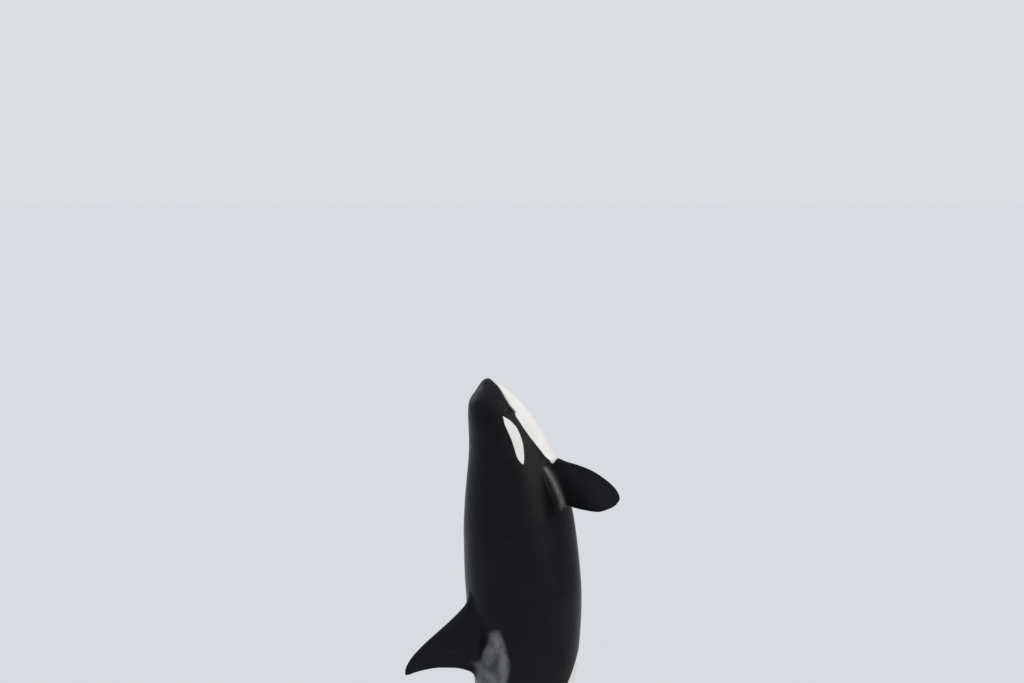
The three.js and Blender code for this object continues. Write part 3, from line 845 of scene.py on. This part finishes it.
def fold_share(along, angle, out):
    """How strongly the fold of skin beside the flipper's root shows at places round the body, 0 to 1."""
    path = np.array(FLIPPER_FOLD)
    ends = (path[0, 0] - FOLD_ZONE["beyond"], path[-1, 0] + FOLD_ZONE["beyond"])
    zone = between(along, ends) & (out < FOLD_ZONE["out"])
    line = skin(path[:, 0], np.radians(path[:, 1]))
    distance, where = path_distance(skin(along[zone], angle[zone]), line)
    fade = smooth_step(where / FOLD["start"]) * smooth_step((1 - where) / FOLD["end"])
    fade *= smooth_step((FOLD_ZONE["out"] - out[zone]) / FOLD_ZONE["fade"])
    share = np.zeros(len(along))
    share[zone] = fade * bell(distance / (FOLD["reach"] * (1 - FOLD["narrows"] * where)))
    return share


def relax(points, edges, weight, rounds):
    """Points drawn towards the average of their neighbours, by their weight, a number of times."""
    count = np.bincount(edges.ravel(), minlength=len(points))[:, None]
    for _ in range(rounds):
        total = np.empty_like(points)
        for axis in range(3):
            value = points[:, axis]
            total[:, axis] = np.bincount(edges[:, 0], value[edges[:, 1]], len(points))
            total[:, axis] += np.bincount(edges[:, 1], value[edges[:, 0]], len(points))
        points = points + weight[:, None] * (total / np.maximum(count, 1) - points)
    return points


def grown_together(body, fins):
    """The body and its fins joined into one mesh, with the joins rounded off."""
    collection = bpy.data.collections.new("fins")
    for fin in fins:
        collection.objects.link(fin)
    union = body.modifiers.new("join", "BOOLEAN")
    union.operation = "UNION"
    union.solver = "MANIFOLD"
    union.operand_type = "COLLECTION"
    union.collection = collection
    joined = bpy.data.meshes.new_from_object(body.evaluated_get(bpy.context.evaluated_depsgraph_get()))
    for piece in (body, *fins):
        bpy.data.objects.remove(piece)
    bpy.data.collections.remove(collection)
    return joined


def round_joins(mesh):
    """The points of the joined mesh, smoothed near the seams between the body and its fins."""
    points = read(mesh.vertices, "co", float, 3)
    edges = read(mesh.edges, "vertices", int, 2)
    origin = read(mesh.polygons, "material_index", int)
    size = read(mesh.polygons, "loop_total", int)
    corner = read(mesh.loops, "vertex_index", int)
    of_fin = np.repeat(origin, size) > 0
    on_fin = np.bincount(corner, of_fin, len(points)) > 0
    on_body = np.bincount(corner, ~of_fin, len(points)) > 0
    seam = points[on_fin & on_body]
    nearest = np.full(len(points), np.inf)
    for part in np.array_split(seam, max(1, len(seam) // SEAM_PART)):
        middle = part.mean(0)
        radius = np.linalg.norm(part - middle, axis=1).max() + FILLET_REACH
        zone = np.flatnonzero(np.linalg.norm(points - middle, axis=1) < radius)
        gap = points[zone, None] - part[None]
        nearest[zone] = np.minimum(nearest[zone], np.sqrt((gap**2).sum(2)).min(1))
    weight = smooth_step(1 - nearest / FILLET_REACH)
    near = weight > 0
    return relax(points, edges[near[edges].any(1)], FILLET_PULL * weight, FILLET_ROUNDS)


# Material nodes
def feed(tree, made, values):
    """Give a node's sockets numbers or colours, or link them to other nodes."""
    for name, value in values.items():
        socket = made.inputs[name]
        if isinstance(value, bpy.types.NodeSocket):
            tree.links.new(value, socket)
        elif socket.type == "RGBA":
            socket.default_value = (*value, 1)
        else:
            socket.default_value = value


def add_node(tree, kind, values=(), output=0, **settings):
    """One output of a new shader node, with its settings and what its sockets are fed."""
    made = tree.nodes.new(f"ShaderNode{kind}")
    for name, value in settings.items():
        setattr(made, name, value)
    feed(tree, made, dict(values))
    return made.outputs[output]


def new_material(name):
    """A material with its node tree, its shader and the place on the object."""
    material = bpy.data.materials.new(name)
    material.use_nodes = True
    tree = material.node_tree
    tree.nodes.clear()
    shader = tree.nodes.new("ShaderNodeBsdfPrincipled")
    feed(tree, tree.nodes.new("ShaderNodeOutputMaterial"), {"Surface": shader.outputs["BSDF"]})
    return material, tree, shader, add_node(tree, "TexCoord", output="Object")


# Noise textures: scale, detail, roughness, distortion
NOISES = {
    "edge": (26, 5, 0.55, 0),
    "mottle": (3.2, 8, 0.6, 0.4),
    "fine": (60, 6, 0.6, 0),
    "grain": (420, 3, 0.6, 0),
    "folds": (9, 3, 0.5, 0),
    "rake_lines": (1, 2, 0.4, 0.3),
    "rake_groups": (2.3, 2, 0.5, 0),
    "iris": (700, 4, 0.6, 0),
    "speckle": (160, 3, 0.7, 0),
    "paint": (2.2, 6, 0.6, 0),
    "brushed": (1, 3, 0.6, 0),
    "steel": (6, 5, 0.6, 0),
    "floor": (0.6, 4, 0.5, 0),
}
# Small relief: distance, strength
BUMPS = {
    "folds": (0.004, 0.5),
    "rakes": (0.0008, 0.22),
    "grain": (0.0003, 0.22),
    "iris": (0.0002, 0.2),
    "speckle": (0.0006, 0.4),
    "brushed": (0.0002, 0.25),
}
# The parts of a noise's values that are spread out from none to all
SPREAD = (0.3, 0.7)
WIDE_SPREAD = (0.2, 0.8)


def noise(tree, where, name):
    values = dict(zip(("Scale", "Detail", "Roughness", "Distortion"), NOISES[name]))
    return add_node(tree, "TexNoise", {"Vector": where, **values}, "Fac")


def bump(tree, name, height, under=None):
    """Relief on the surface, or on top of another relief."""
    values = dict(zip(("Distance", "Strength"), BUMPS[name]))
    if under is not None:
        values["Normal"] = under
    return add_node(tree, "Bump", {"Height": height, **values})


def math_node(tree, operation, *values):
    return add_node(tree, "Math", enumerate(values), operation=operation)


def multiply(tree, first, second):
    return math_node(tree, "MULTIPLY", first, second)


def map_range(tree, value, start, end=(0, 1)):
    values = {"Value": value, "From Min": start[0], "From Max": start[1], "To Min": end[0], "To Max": end[1]}
    return add_node(tree, "MapRange", values, interpolation_type="SMOOTHSTEP")


def mix_colour(tree, share, first, second):
    return add_node(tree, "Mix", {0: share, 6: first, 7: second}, 2, data_type="RGBA")


def attribute(tree, name, output="Fac"):
    return add_node(tree, "Attribute", output=output, attribute_name=name)


def stretched(tree, where, scale, turn=0):
    return add_node(tree, "Mapping", {"Vector": where, "Scale": scale, "Rotation": (0, 0, turn)})


BLACK = (0.0043, 0.0046, 0.0054)
BLACK_PALER = (0.0066, 0.007, 0.0083)
SADDLE_GREY = (0.12, 0.125, 0.13)
SADDLE_PALER = (0.19, 0.19, 0.19)
WHITE = (0.785, 0.772, 0.745)
WHITE_DARKER = (0.71, 0.69, 0.645)
RAKED = (0.024, 0.025, 0.028)
RAKED_WHITE = (0.42, 0.4, 0.37)
# Painted sheen: the paler tone of the fold beside each flipper
FOLD_SHEEN_TONE = (0.185, 0.17, 0.165)
# Painted shade: the colour that grooves, slits, dimples and the lids' inner edge are darkened towards, and
# how far
PAINTED_SHADE_TONE = (0.008, 0.005, 0.005)
PAINTED_SHADE_SHARE = 0.85
MOTTLE_SPREAD = (0.3, 0.72)
# How far the edges of the markings waver, and over what distance the saddle patch fades
WHITE_WAVER = 0.0035
SADDLE_WAVER = 0.08
SADDLE_FADE = (-0.03, 0.05)
SADDLE_SHARES = (0, 0.9)
# How a noise varies the painted sheen on the fold
FOLD_SPREAD = (0.3, 0.6)
FOLD_SHARES = (0.45, 1)
FOLD_GLOSS = -0.14
SKIN_ROUGHNESS = (0.24, 0.36)
SKIN_SPECULAR = 0.115
RAKE_SCALE = (5, 170, 170)
RAKE_TURN = math.radians(4)
RAKE_LINES = (0.66, 0.74)
RAKE_GROUPS = (0.54, 0.68)
RAKES_ON_BLACK = 0.5
RAKES_ON_WHITE = 0.12


def rake_marks(tree):
    """Thin scratches along the body, in a few loose groups."""
    flow = attribute(tree, "flow", "Vector")
    lines = noise(tree, stretched(tree, flow, RAKE_SCALE, RAKE_TURN), "rake_lines")
    groups = noise(tree, flow, "rake_groups")
    return multiply(tree, map_range(tree, lines, RAKE_LINES), map_range(tree, groups, RAKE_GROUPS))


def wavering(tree, name, waver, by):
    """A signed distance stored in the mesh, moved to and fro by a noise."""
    shift = math_node(tree, "MULTIPLY_ADD", by, 2 * waver, -waver)
    return math_node(tree, "ADD", attribute(tree, name), shift)


def skin_material():
    """Black, white and grey skin, told apart by the signed distances stored in the mesh, with painted shade
    in its grooves and a painted sheen on the fold beside each flipper.
    """
    material, tree, shader, where = new_material("orca_skin")
    mottle = noise(tree, where, "mottle")
    fine = noise(tree, where, "fine")
    rakes = rake_marks(tree)
    white = wavering(tree, "white", WHITE_WAVER, noise(tree, where, "edge"))
    white = map_range(tree, white, (-WHITE_WAVER, WHITE_WAVER))
    saddle = map_range(tree, wavering(tree, "saddle", SADDLE_WAVER, mottle), SADDLE_FADE, SADDLE_SHARES)
    fold = multiply(tree, attribute(tree, "fold"), map_range(tree, fine, FOLD_SPREAD, FOLD_SHARES))

    mottled = map_range(tree, mottle, MOTTLE_SPREAD)
    black_tone = mix_colour(tree, mottled, BLACK, BLACK_PALER)
    black_tone = mix_colour(tree, multiply(tree, rakes, RAKES_ON_BLACK), black_tone, RAKED)
    # The fold beside each flipper gets a paler painted sheen, as well as a glossier finish
    black_tone = mix_colour(tree, fold, black_tone, FOLD_SHEEN_TONE)
    colour = mix_colour(tree, saddle, black_tone, mix_colour(tree, mottled, SADDLE_GREY, SADDLE_PALER))
    white_tone = mix_colour(tree, mottled, WHITE, WHITE_DARKER)
    white_tone = mix_colour(tree, multiply(tree, rakes, RAKES_ON_WHITE), white_tone, RAKED_WHITE)
    colour = mix_colour(tree, white, colour, white_tone)
    # Painted shade in the grooves, slits, dimples and lids, read from the mesh
    shade = multiply(tree, attribute(tree, "painted_shade"), PAINTED_SHADE_SHARE)

    gloss = map_range(tree, fine, SPREAD, SKIN_ROUGHNESS)
    normal = bump(tree, "folds", noise(tree, where, "folds"))
    normal = bump(tree, "rakes", rakes, normal)
    feed(tree, shader, {
        "Base Color": mix_colour(tree, shade, colour, PAINTED_SHADE_TONE),
        "Roughness": math_node(tree, "MULTIPLY_ADD", fold, FOLD_GLOSS, gloss),
        "Specular IOR Level": SKIN_SPECULAR,
        "Normal": bump(tree, "grain", noise(tree, where, "grain"), normal),
    })
    return material


PUPIL = (0.001, 0.001, 0.001)
IRIS = ((0.008, 0.005, 0.004), (0.021, 0.0125, 0.009))
IRIS_RIM = (0.006, 0.004, 0.004)
EYE_WHITE = ((0.009, 0.006, 0.006), (0.016, 0.01, 0.009))
# Where the pupil, the iris and its rim end, in radii of the iris
PUPIL_END = (0.36, 0.42)
IRIS_END = (0.84, 0.96)
RIM_END = (1, 1.12)
EYE_GLOSS = {"Roughness": 0.06, "Specular IOR Level": 0.1, "Coat Weight": 0.05, "Coat Roughness": 0.03}


def eye_material():
    """Colour by the attribute "off_axis": 0 in the middle of the pupil, 1 at the rim of the iris."""
    material, tree, shader, where = new_material("orca_eye")
    off = attribute(tree, "off_axis")
    streaks = noise(tree, where, "iris")
    streaked = map_range(tree, streaks, SPREAD)
    colour = mix_colour(tree, map_range(tree, off, PUPIL_END), PUPIL, mix_colour(tree, streaked, *IRIS))
    colour = mix_colour(tree, map_range(tree, off, IRIS_END), colour, IRIS_RIM)
    colour = mix_colour(tree, map_range(tree, off, RIM_END), colour, mix_colour(tree, streaked, *EYE_WHITE))
    feed(tree, shader, {"Base Color": colour, "Normal": bump(tree, "iris", streaks), **EYE_GLOSS})
    return material


PAINT = ((0.23, 0.235, 0.24), (0.28, 0.285, 0.29))
PAINT_SPECK = (0.36, 0.365, 0.37)
SPECK_SPREAD = (0.55, 0.75)
SPECK_SHARES = (0, 0.35)
PAINT_ROUGHNESS = (0.5, 0.68)


def base_material():
    material, tree, shader, where = new_material("stand_paint")
    speckle = noise(tree, where, "speckle")
    tone = mix_colour(tree, map_range(tree, noise(tree, where, "paint"), SPREAD), *PAINT)
    specks = map_range(tree, speckle, SPECK_SPREAD, SPECK_SHARES)
    feed(tree, shader, {
        "Base Color": mix_colour(tree, specks, tone, PAINT_SPECK),
        "Roughness": map_range(tree, speckle, WIDE_SPREAD, PAINT_ROUGHNESS),
        "Normal": bump(tree, "speckle", speckle),
    })
    return material


STEEL = ((0.46, 0.47, 0.48), (0.56, 0.57, 0.58))
STEEL_ROUGHNESS = (0.26, 0.42)
BRUSHING = (40, 40, 900)


def steel_material():
    material, tree, shader, where = new_material("stand_steel")
    brushed = noise(tree, stretched(tree, where, BRUSHING), "brushed")
    feed(tree, shader, {
        "Base Color": mix_colour(tree, map_range(tree, noise(tree, where, "steel"), SPREAD), *STEEL),
        "Metallic": 1,
        "Roughness": map_range(tree, brushed, WIDE_SPREAD, STEEL_ROUGHNESS),
        "Normal": bump(tree, "brushed", brushed),
    })
    return material


FLOOR = ((0.705, 0.715, 0.725), (0.715, 0.725, 0.735))
FLOOR_GLOSS = {"Roughness": 0.9, "Specular IOR Level": 0.1}


def floor_material():
    material, tree, shader, where = new_material("studio_floor")
    tone = mix_colour(tree, map_range(tree, noise(tree, where, "floor"), SPREAD), *FLOOR)
    feed(tree, shader, {"Base Color": tone, **FLOOR_GLOSS})
    return material


# The solids that the skin stands for
FLESH = (
    "head", "lower_jaw", "chest", "torso", "loin", "tail_stock",
    "dorsal_fin", "pectoral_fin_left", "pectoral_fin_right", "fluke_left", "fluke_right",
)
# Keeps the scratches of the right side from mirroring those of the left
RIGHT_SIDE_SHIFT = 7


def bare_skin():
    """The mesh of the body and its fins in one, and its points."""
    (points, faces), painted_shade = body_mesh()
    body = mesh_object("orca_body", points, faces)
    # The painted shade of the grooves, slits, dimples and lids
    set_attribute(body.data, "painted_shade", painted_shade)
    fins = [
        mesh_object("fin_back", *dorsal_fin()),
        mesh_object("fin_left", *pectoral_fin(1)),
        mesh_object("fin_right", *pectoral_fin(-1)),
        mesh_object("fin_tail", *flukes()),
    ]
    looks = [bpy.data.materials.new(name) for name in ("join_body", "join_fin")]
    for piece in (body, *fins):
        for look in looks:
            piece.data.materials.append(look)
    for fin in fins:
        fill(fin.data.polygons, "material_index", 1)
    mesh = grown_together(body, fins)
    points = round_joins(mesh)
    write_points(mesh, points)
    mesh.materials.clear()
    fill(mesh.polygons, "material_index", 0)
    fill(mesh.polygons, "use_smooth", True)
    return mesh, points


def mark(mesh, points):
    """Raise the fold beside each flipper, and store in the mesh where it and the markings are; the fold also
    gets a painted sheen.
    """
    along, side, rise, angle, stands_out = round_and_out(points)
    fold = fold_share(along, angle, stands_out)
    # Where the fold is, which also sets where its painted sheen goes
    set_attribute(mesh, "fold", fold)
    flow = np.stack((along, angle * half_width(along), np.where(side < 0, RIGHT_SIDE_SHIFT, 0)), 1)
    set_attribute(mesh, "flow", flow, "FLOAT_VECTOR", "vector")
    points = points + FOLD["height"] * fold[:, None] * read(mesh.vertex_normals, "vector", float, 3)
    write_points(mesh, points)

    white = chin(along, angle)
    for corners in (THROAT_AND_BELLY, FLANK, EYE_PATCH):
        white = np.maximum(white, marking(along, angle, corners))
    points[:, 1] = np.abs(points[:, 1])
    white = np.minimum(white, flipper_black(points))
    set_attribute(mesh, "white", np.maximum(white, fluke_white(along, side, rise)))
    set_attribute(mesh, "saddle", np.minimum(marking(along, angle, SADDLE), SADDLE_ON_FIN - stands_out))


def build_skin():
    mesh, points = bare_skin()
    mesh.materials.append(skin_material())
    mark(mesh, points)
    piece = new_object("orca_skin", mesh)
    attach(piece, "root")
    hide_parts(*FLESH)


IRIS_RADIUS = 0.0125
CORNEA_BULGE = 0.0012
CORNEA_TURN = 1.5
EYEBALL_RINGS = 48
EYEBALL_SIDES = 64
# The off_axis of the eyeball's back, well beyond the iris
BEHIND = 2


def build_eye(name, mirror, material):
    """An eyeball with a low cornea, its axis straight out of the head."""
    centre, axes = eye_axes()
    centre = centre - axes[2] * EYE["sunk"]
    turn = np.linspace(0, math.pi, EYEBALL_RINGS + 2)[1:-1, None]
    around = full_turn(EYEBALL_SIDES)
    bulge = CORNEA_BULGE * bell(EYE["radius"] * np.sin(turn) / IRIS_RADIUS) * (turn < CORNEA_TURN)
    ring = np.sin(turn)
    local = np.stack(np.broadcast_arrays(ring * np.cos(around), ring * np.sin(around), np.cos(turn)), -1)
    rings = centre + (EYE["radius"] + bulge)[..., None] * local @ axes
    front = centre + axes[2] * (EYE["radius"] + CORNEA_BULGE)
    back = centre - axes[2] * EYE["radius"]
    points, faces = loft(rings, (front, back))
    off_axis = np.linalg.norm(np.cross(points - centre, axes[2]), axis=1) / IRIS_RADIUS
    off_axis[(points - centre) @ axes[2] < 0] = BEHIND
    points[:, 1] *= mirror
    piece = mesh_object(f"eyeball_{name}", points, faces)
    fill(piece.data.polygons, "use_smooth", True)
    set_attribute(piece.data, "off_axis", off_axis)
    piece.data.materials.append(material)
    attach(piece, "root")
    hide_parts(f"eye_{name}")


def crisp(profile):
    """A profile with more points close to its corners, so that smooth shading leaves them crisp."""
    profile = np.array(profile, float)
    held = [profile[0]]
    for before, corner, after in zip(profile, profile[1:], profile[2:]):
        held += [corner + CRISP * unit(before - corner), corner, corner + CRISP * unit(after - corner)]
    return np.array((*held, profile[-1]))


def turned(profile, sides, start=(0, 0, 0), axes=np.eye(3)):
    """Points and faces of a closed turned shape, from a profile of radius and height."""
    profile = np.array(profile, float)
    angle = full_turn(sides)
    radius = profile[1:-1, :1]
    height = profile[1:-1, 1:]
    rings = np.stack(np.broadcast_arrays(radius * np.cos(angle), radius * np.sin(angle), height), -1)
    ends = [np.array(start) + profile[i, 1] * axes[2] for i in (0, -1)]
    return loft(np.array(start) + rings @ axes, ends)


def bead(path, radius, upright):
    """Points and faces of a round bead along a closed path."""
    forward = unit(np.roll(path, -1, 0) - np.roll(path, 1, 0))
    outward = unit(np.cross(forward, upright))
    inward = np.cross(forward, outward)
    angle = full_turn(BEAD_SIDES)[:, None]
    around = np.cos(angle) * outward[:, None] + np.sin(angle) * inward[:, None]
    row = np.arange(len(path))[:, None] * BEAD_SIDES
    following = np.roll(row, -1, 0)
    here = np.arange(BEAD_SIDES)
    there = np.roll(here, -1)
    quads = np.stack((row + here, row + there, following + there, following + here), -1)
    return (path[:, None] + radius * around).reshape(-1, 3), quads.reshape(-1, 4).tolist()


def rod_line(rod):
    """Where a rod starts on the base plate, how far it is to the skin, and its directions, upwards last."""
    foot = np.array((rod["foot_x"], 0, BASE["thickness"]))
    top = skin(np.array(rod["meets"]), np.array(rod["angle"]))
    upward = unit(top - foot)
    across = np.array((0.0, 1.0, 0.0))
    return foot, np.linalg.norm(top - foot), np.array((np.cross(across, upward), across, upward))


def round_rod(foot, axes, radius):
    angle = full_turn(ROD["sides"])[:, None]
    return foot + radius * (np.cos(angle) * axes[0] + np.sin(angle) * axes[1])


def rim_path(foot, reach, axes):
    """Where a rod's collar meets the skin, as points all round it."""
    around = round_rod(foot, axes, COLLAR["radius"])
    outside = np.full(len(around), reach - COLLAR["length"])
    inside = np.full(len(around), reach + COLLAR["length"])
    for _ in range(RIM_HALVINGS):
        middle = (outside + inside) / 2
        along, side, rise = body_coordinates(around + middle[:, None] * axes[2])
        is_inside = round_body(along, np.abs(side), rise)[1] < 1
        inside = np.where(is_inside, middle, inside)
        outside = np.where(is_inside, outside, middle)
    return around + outside[:, None] * axes[2]


def weld_path(foot, axes):
    """Where a rod meets the top of its foot."""
    around = round_rod(foot, axes, ROD["radius"])
    level = BASE["thickness"] + FOOT["height"]
    return around + ((level - around[:, 2:]) / axes[2, 2]) * axes[2]


def rod_shape(foot, reach, axes):
    end = reach + ROD["under_skin"]
    collar = reach - COLLAR["length"]
    edge = COLLAR["edge"]
    profile = (
        (0, 0),
        (ROD["radius"], 0),
        (ROD["radius"], collar),
        (COLLAR["radius"] - edge, collar),
        (COLLAR["radius"], collar + edge),
        (COLLAR["radius"], end),
        (0, end),
    )
    return turned(crisp(profile), ROD["sides"], foot, axes)


def bevelled(radius, height, edge):
    """The profile of a disc with a bevel round its top."""
    return ((0, 0), (radius, 0), (radius, height - edge), (radius - edge, height), (0, height))


def foot_shape(foot):
    return turned(crisp(bevelled(FOOT["radius"], FOOT["height"], FOOT["edge"])), ROD["sides"], foot)


def bolt_shapes(foot):
    """Six-sided bolt heads on washers, in a circle on a foot."""
    shapes = []
    head = bevelled(BOLTS["radius"], BOLTS["height"], BOLTS["edge"])
    washer = ((0, 0), (WASHER["radius"], 0), (WASHER["radius"], WASHER["height"]), (0, WASHER["height"]))
    for i in range(BOLTS["count"]):
        angle = 2 * math.pi * (i + 0.5) / BOLTS["count"]
        off = (BOLTS["circle"] * math.cos(angle), BOLTS["circle"] * math.sin(angle), FOOT["height"])
        shapes.append(turned(washer, WASHER["sides"], foot + off))
        shapes.append(turned(head, BOLTS["sides"], foot + off + (0, 0, WASHER["height"])))
    return shapes


def base_shape():
    """The base plate, with rounded corners and edges."""
    turn = np.linspace(0, math.pi / 2, BASE_CORNER_SIDES)
    centres = []
    corners = []
    for i, (x, y) in enumerate(((1, 1), (-1, 1), (-1, -1), (1, -1))):
        centre = (x * (BASE["half_length"] - BASE["corner"]), y * (BASE["half_width"] - BASE["corner"]))
        centres += [centre] * len(turn)
        angle = turn + i * math.pi / 2
        corners.append(np.stack((np.cos(angle), np.sin(angle)), 1))
    corners = np.concatenate(corners)
    quarter = np.linspace(0, math.pi / 2, BASE_EDGE_STEPS)
    edge = BASE["edge"]
    lower = [(edge * (1 - math.sin(a)), edge * (1 - math.cos(a))) for a in quarter]
    upper = [(inset, BASE["thickness"] - height) for inset, height in reversed(lower)]
    rings = []
    for inset, height in ((edge + CRISP, 0), *lower, *upper, (edge + CRISP, BASE["thickness"])):
        flat = centres + (BASE["corner"] - inset) * corners
        rings.append(np.column_stack((flat, np.full(len(flat), height))))
    return loft(np.array(rings), (None, None))


def stand_piece(name, shapes, material, replaced=None, smooth=True):
    """One piece of the stand, made of closed shapes. It may stand for a node of the frame."""
    points = np.concatenate([shape[0] for shape in shapes])
    faces = []
    first = 0
    for shape_points, shape_faces in shapes:
        faces += [[first + corner for corner in face] for face in shape_faces]
        first += len(shape_points)
    piece = mesh_object(name, points, faces)
    piece.data.polygons.foreach_set("use_smooth", [smooth and len(face) <= 4 for face in faces])
    piece.data.materials.append(material)
    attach(piece, "root")
    if replaced:
        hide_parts(replaced)


def build_stand():
    steel = steel_material()
    stand_piece("base_plate", [base_shape()], base_material(), "stand_base")
    for name, rod in RODS.items():
        foot, reach, axes = rod_line(rod)
        rim = bead(rim_path(foot, reach, axes), RIM_RADIUS, axes[2])
        weld = bead(weld_path(foot, axes), WELD_RADIUS, axes[2])
        shaft = [rod_shape(foot, reach, axes), rim]
        stand_piece(f"rod_{name}", shaft, steel, f"stand_rod_{name}")
        stand_piece(f"foot_{name}", [foot_shape(foot), weld], steel, f"stand_foot_{name}")
        stand_piece(f"bolts_{name}", bolt_shapes(foot), steel, smooth=False)


# The photograph's view: the snout's pixel in the 1024 by 683 picture, and the camera's place from it
IMAGE_SIZE = (1024, 683)
SNOUT_PIXEL = (486.4, 378.3)
VIEW_AZIMUTH = math.radians(-22)
VIEW_PITCH = math.radians(0.7275)
VIEW_DISTANCE = 119.77
LENS = 400
SENSOR = 36
VIEW_END = 20000


def build_camera():
    data = bpy.data.cameras.new("camera")
    data.lens = LENS
    data.sensor_width = SENSOR
    data.clip_end = VIEW_END
    camera = new_object("camera", data)
    away = Vector((
        math.sin(VIEW_AZIMUTH) * math.cos(VIEW_PITCH),
        -math.cos(VIEW_AZIMUTH) * math.cos(VIEW_PITCH),
        math.sin(VIEW_PITCH),
    ))
    right = Vector((math.cos(VIEW_AZIMUTH), math.sin(VIEW_AZIMUTH), 0))
    up = away.cross(right)
    pixel = VIEW_DISTANCE * SENSOR / LENS / IMAGE_SIZE[0]
    aim = Vector((SNOUT[0], 0, SNOUT[1]))
    aim += right * (IMAGE_SIZE[0] / 2 - SNOUT_PIXEL[0]) * pixel
    aim += up * (SNOUT_PIXEL[1] - IMAGE_SIZE[1] / 2) * pixel
    camera.matrix_world = Matrix((right, up, away)).transposed().to_4x4()
    camera.location = aim + away * VIEW_DISTANCE
    bpy.context.scene.camera = camera


def area_light(name, location, size, power, colour):
    data = bpy.data.lights.new(name, "AREA")
    data.shape = "DISK"
    data.size = size
    data.energy = power
    data.color = colour
    lamp = new_object(name, data)
    lamp.location = location
    lamp.rotation_euler = (Vector(location) - Vector(AIM)).to_track_quat("Z", "Y").to_euler()
    lamp.visible_camera = False


FLOOR_HALF = 15000
AIM = (0, 0, 4.6)
# Place, size, power, colour
LIGHTS = {
    "key": ((4.2, -7.9, 9.6), 9, 330, (1, 0.99, 0.98)),
    "rim": ((-6, 7, 10), 7, 130, (0.95, 0.97, 1)),
}
SKY_LOW = (0.34, 0.35, 0.37)
SKY_TOP = (1.18, 1.2, 1.24)
SKY_RISE = (0, 0.9)
BACKDROP = (0.7, 0.73, 0.76)


def build_world():
    """A soft sky, bright overhead and dim at eye level, that the camera sees as a plain pale backdrop."""
    world = bpy.data.worlds.new("studio")
    world.use_nodes = True
    tree = world.node_tree
    tree.nodes.clear()
    height = add_node(tree, "SeparateXYZ", {0: add_node(tree, "TexCoord", output="Generated")}, "Z")
    sky = mix_colour(tree, map_range(tree, height, SKY_RISE), SKY_LOW, SKY_TOP)
    seen = add_node(tree, "LightPath", output="Is Camera Ray")
    background = add_node(tree, "Background", {"Color": mix_colour(tree, seen, sky, BACKDROP)})
    feed(tree, tree.nodes.new("ShaderNodeOutputWorld"), {"Surface": background})
    bpy.context.scene.world = world


def build_studio():
    corners = np.array(((-1, -1, 0), (1, -1, 0), (1, 1, 0), (-1, 1, 0)), float)
    floor = mesh_object("studio_floor", corners * FLOOR_HALF, [(0, 1, 2, 3)])
    floor.data.materials.append(floor_material())

    build_world()
    for name, light in LIGHTS.items():
        area_light(name, *light)
    bpy.context.scene.view_settings.view_transform = "Standard"


build_camera()
build_studio()
build_skin()
eye_look = eye_material()
build_eye("left", 1, eye_look)
build_eye("right", -1, eye_look)
build_stand()
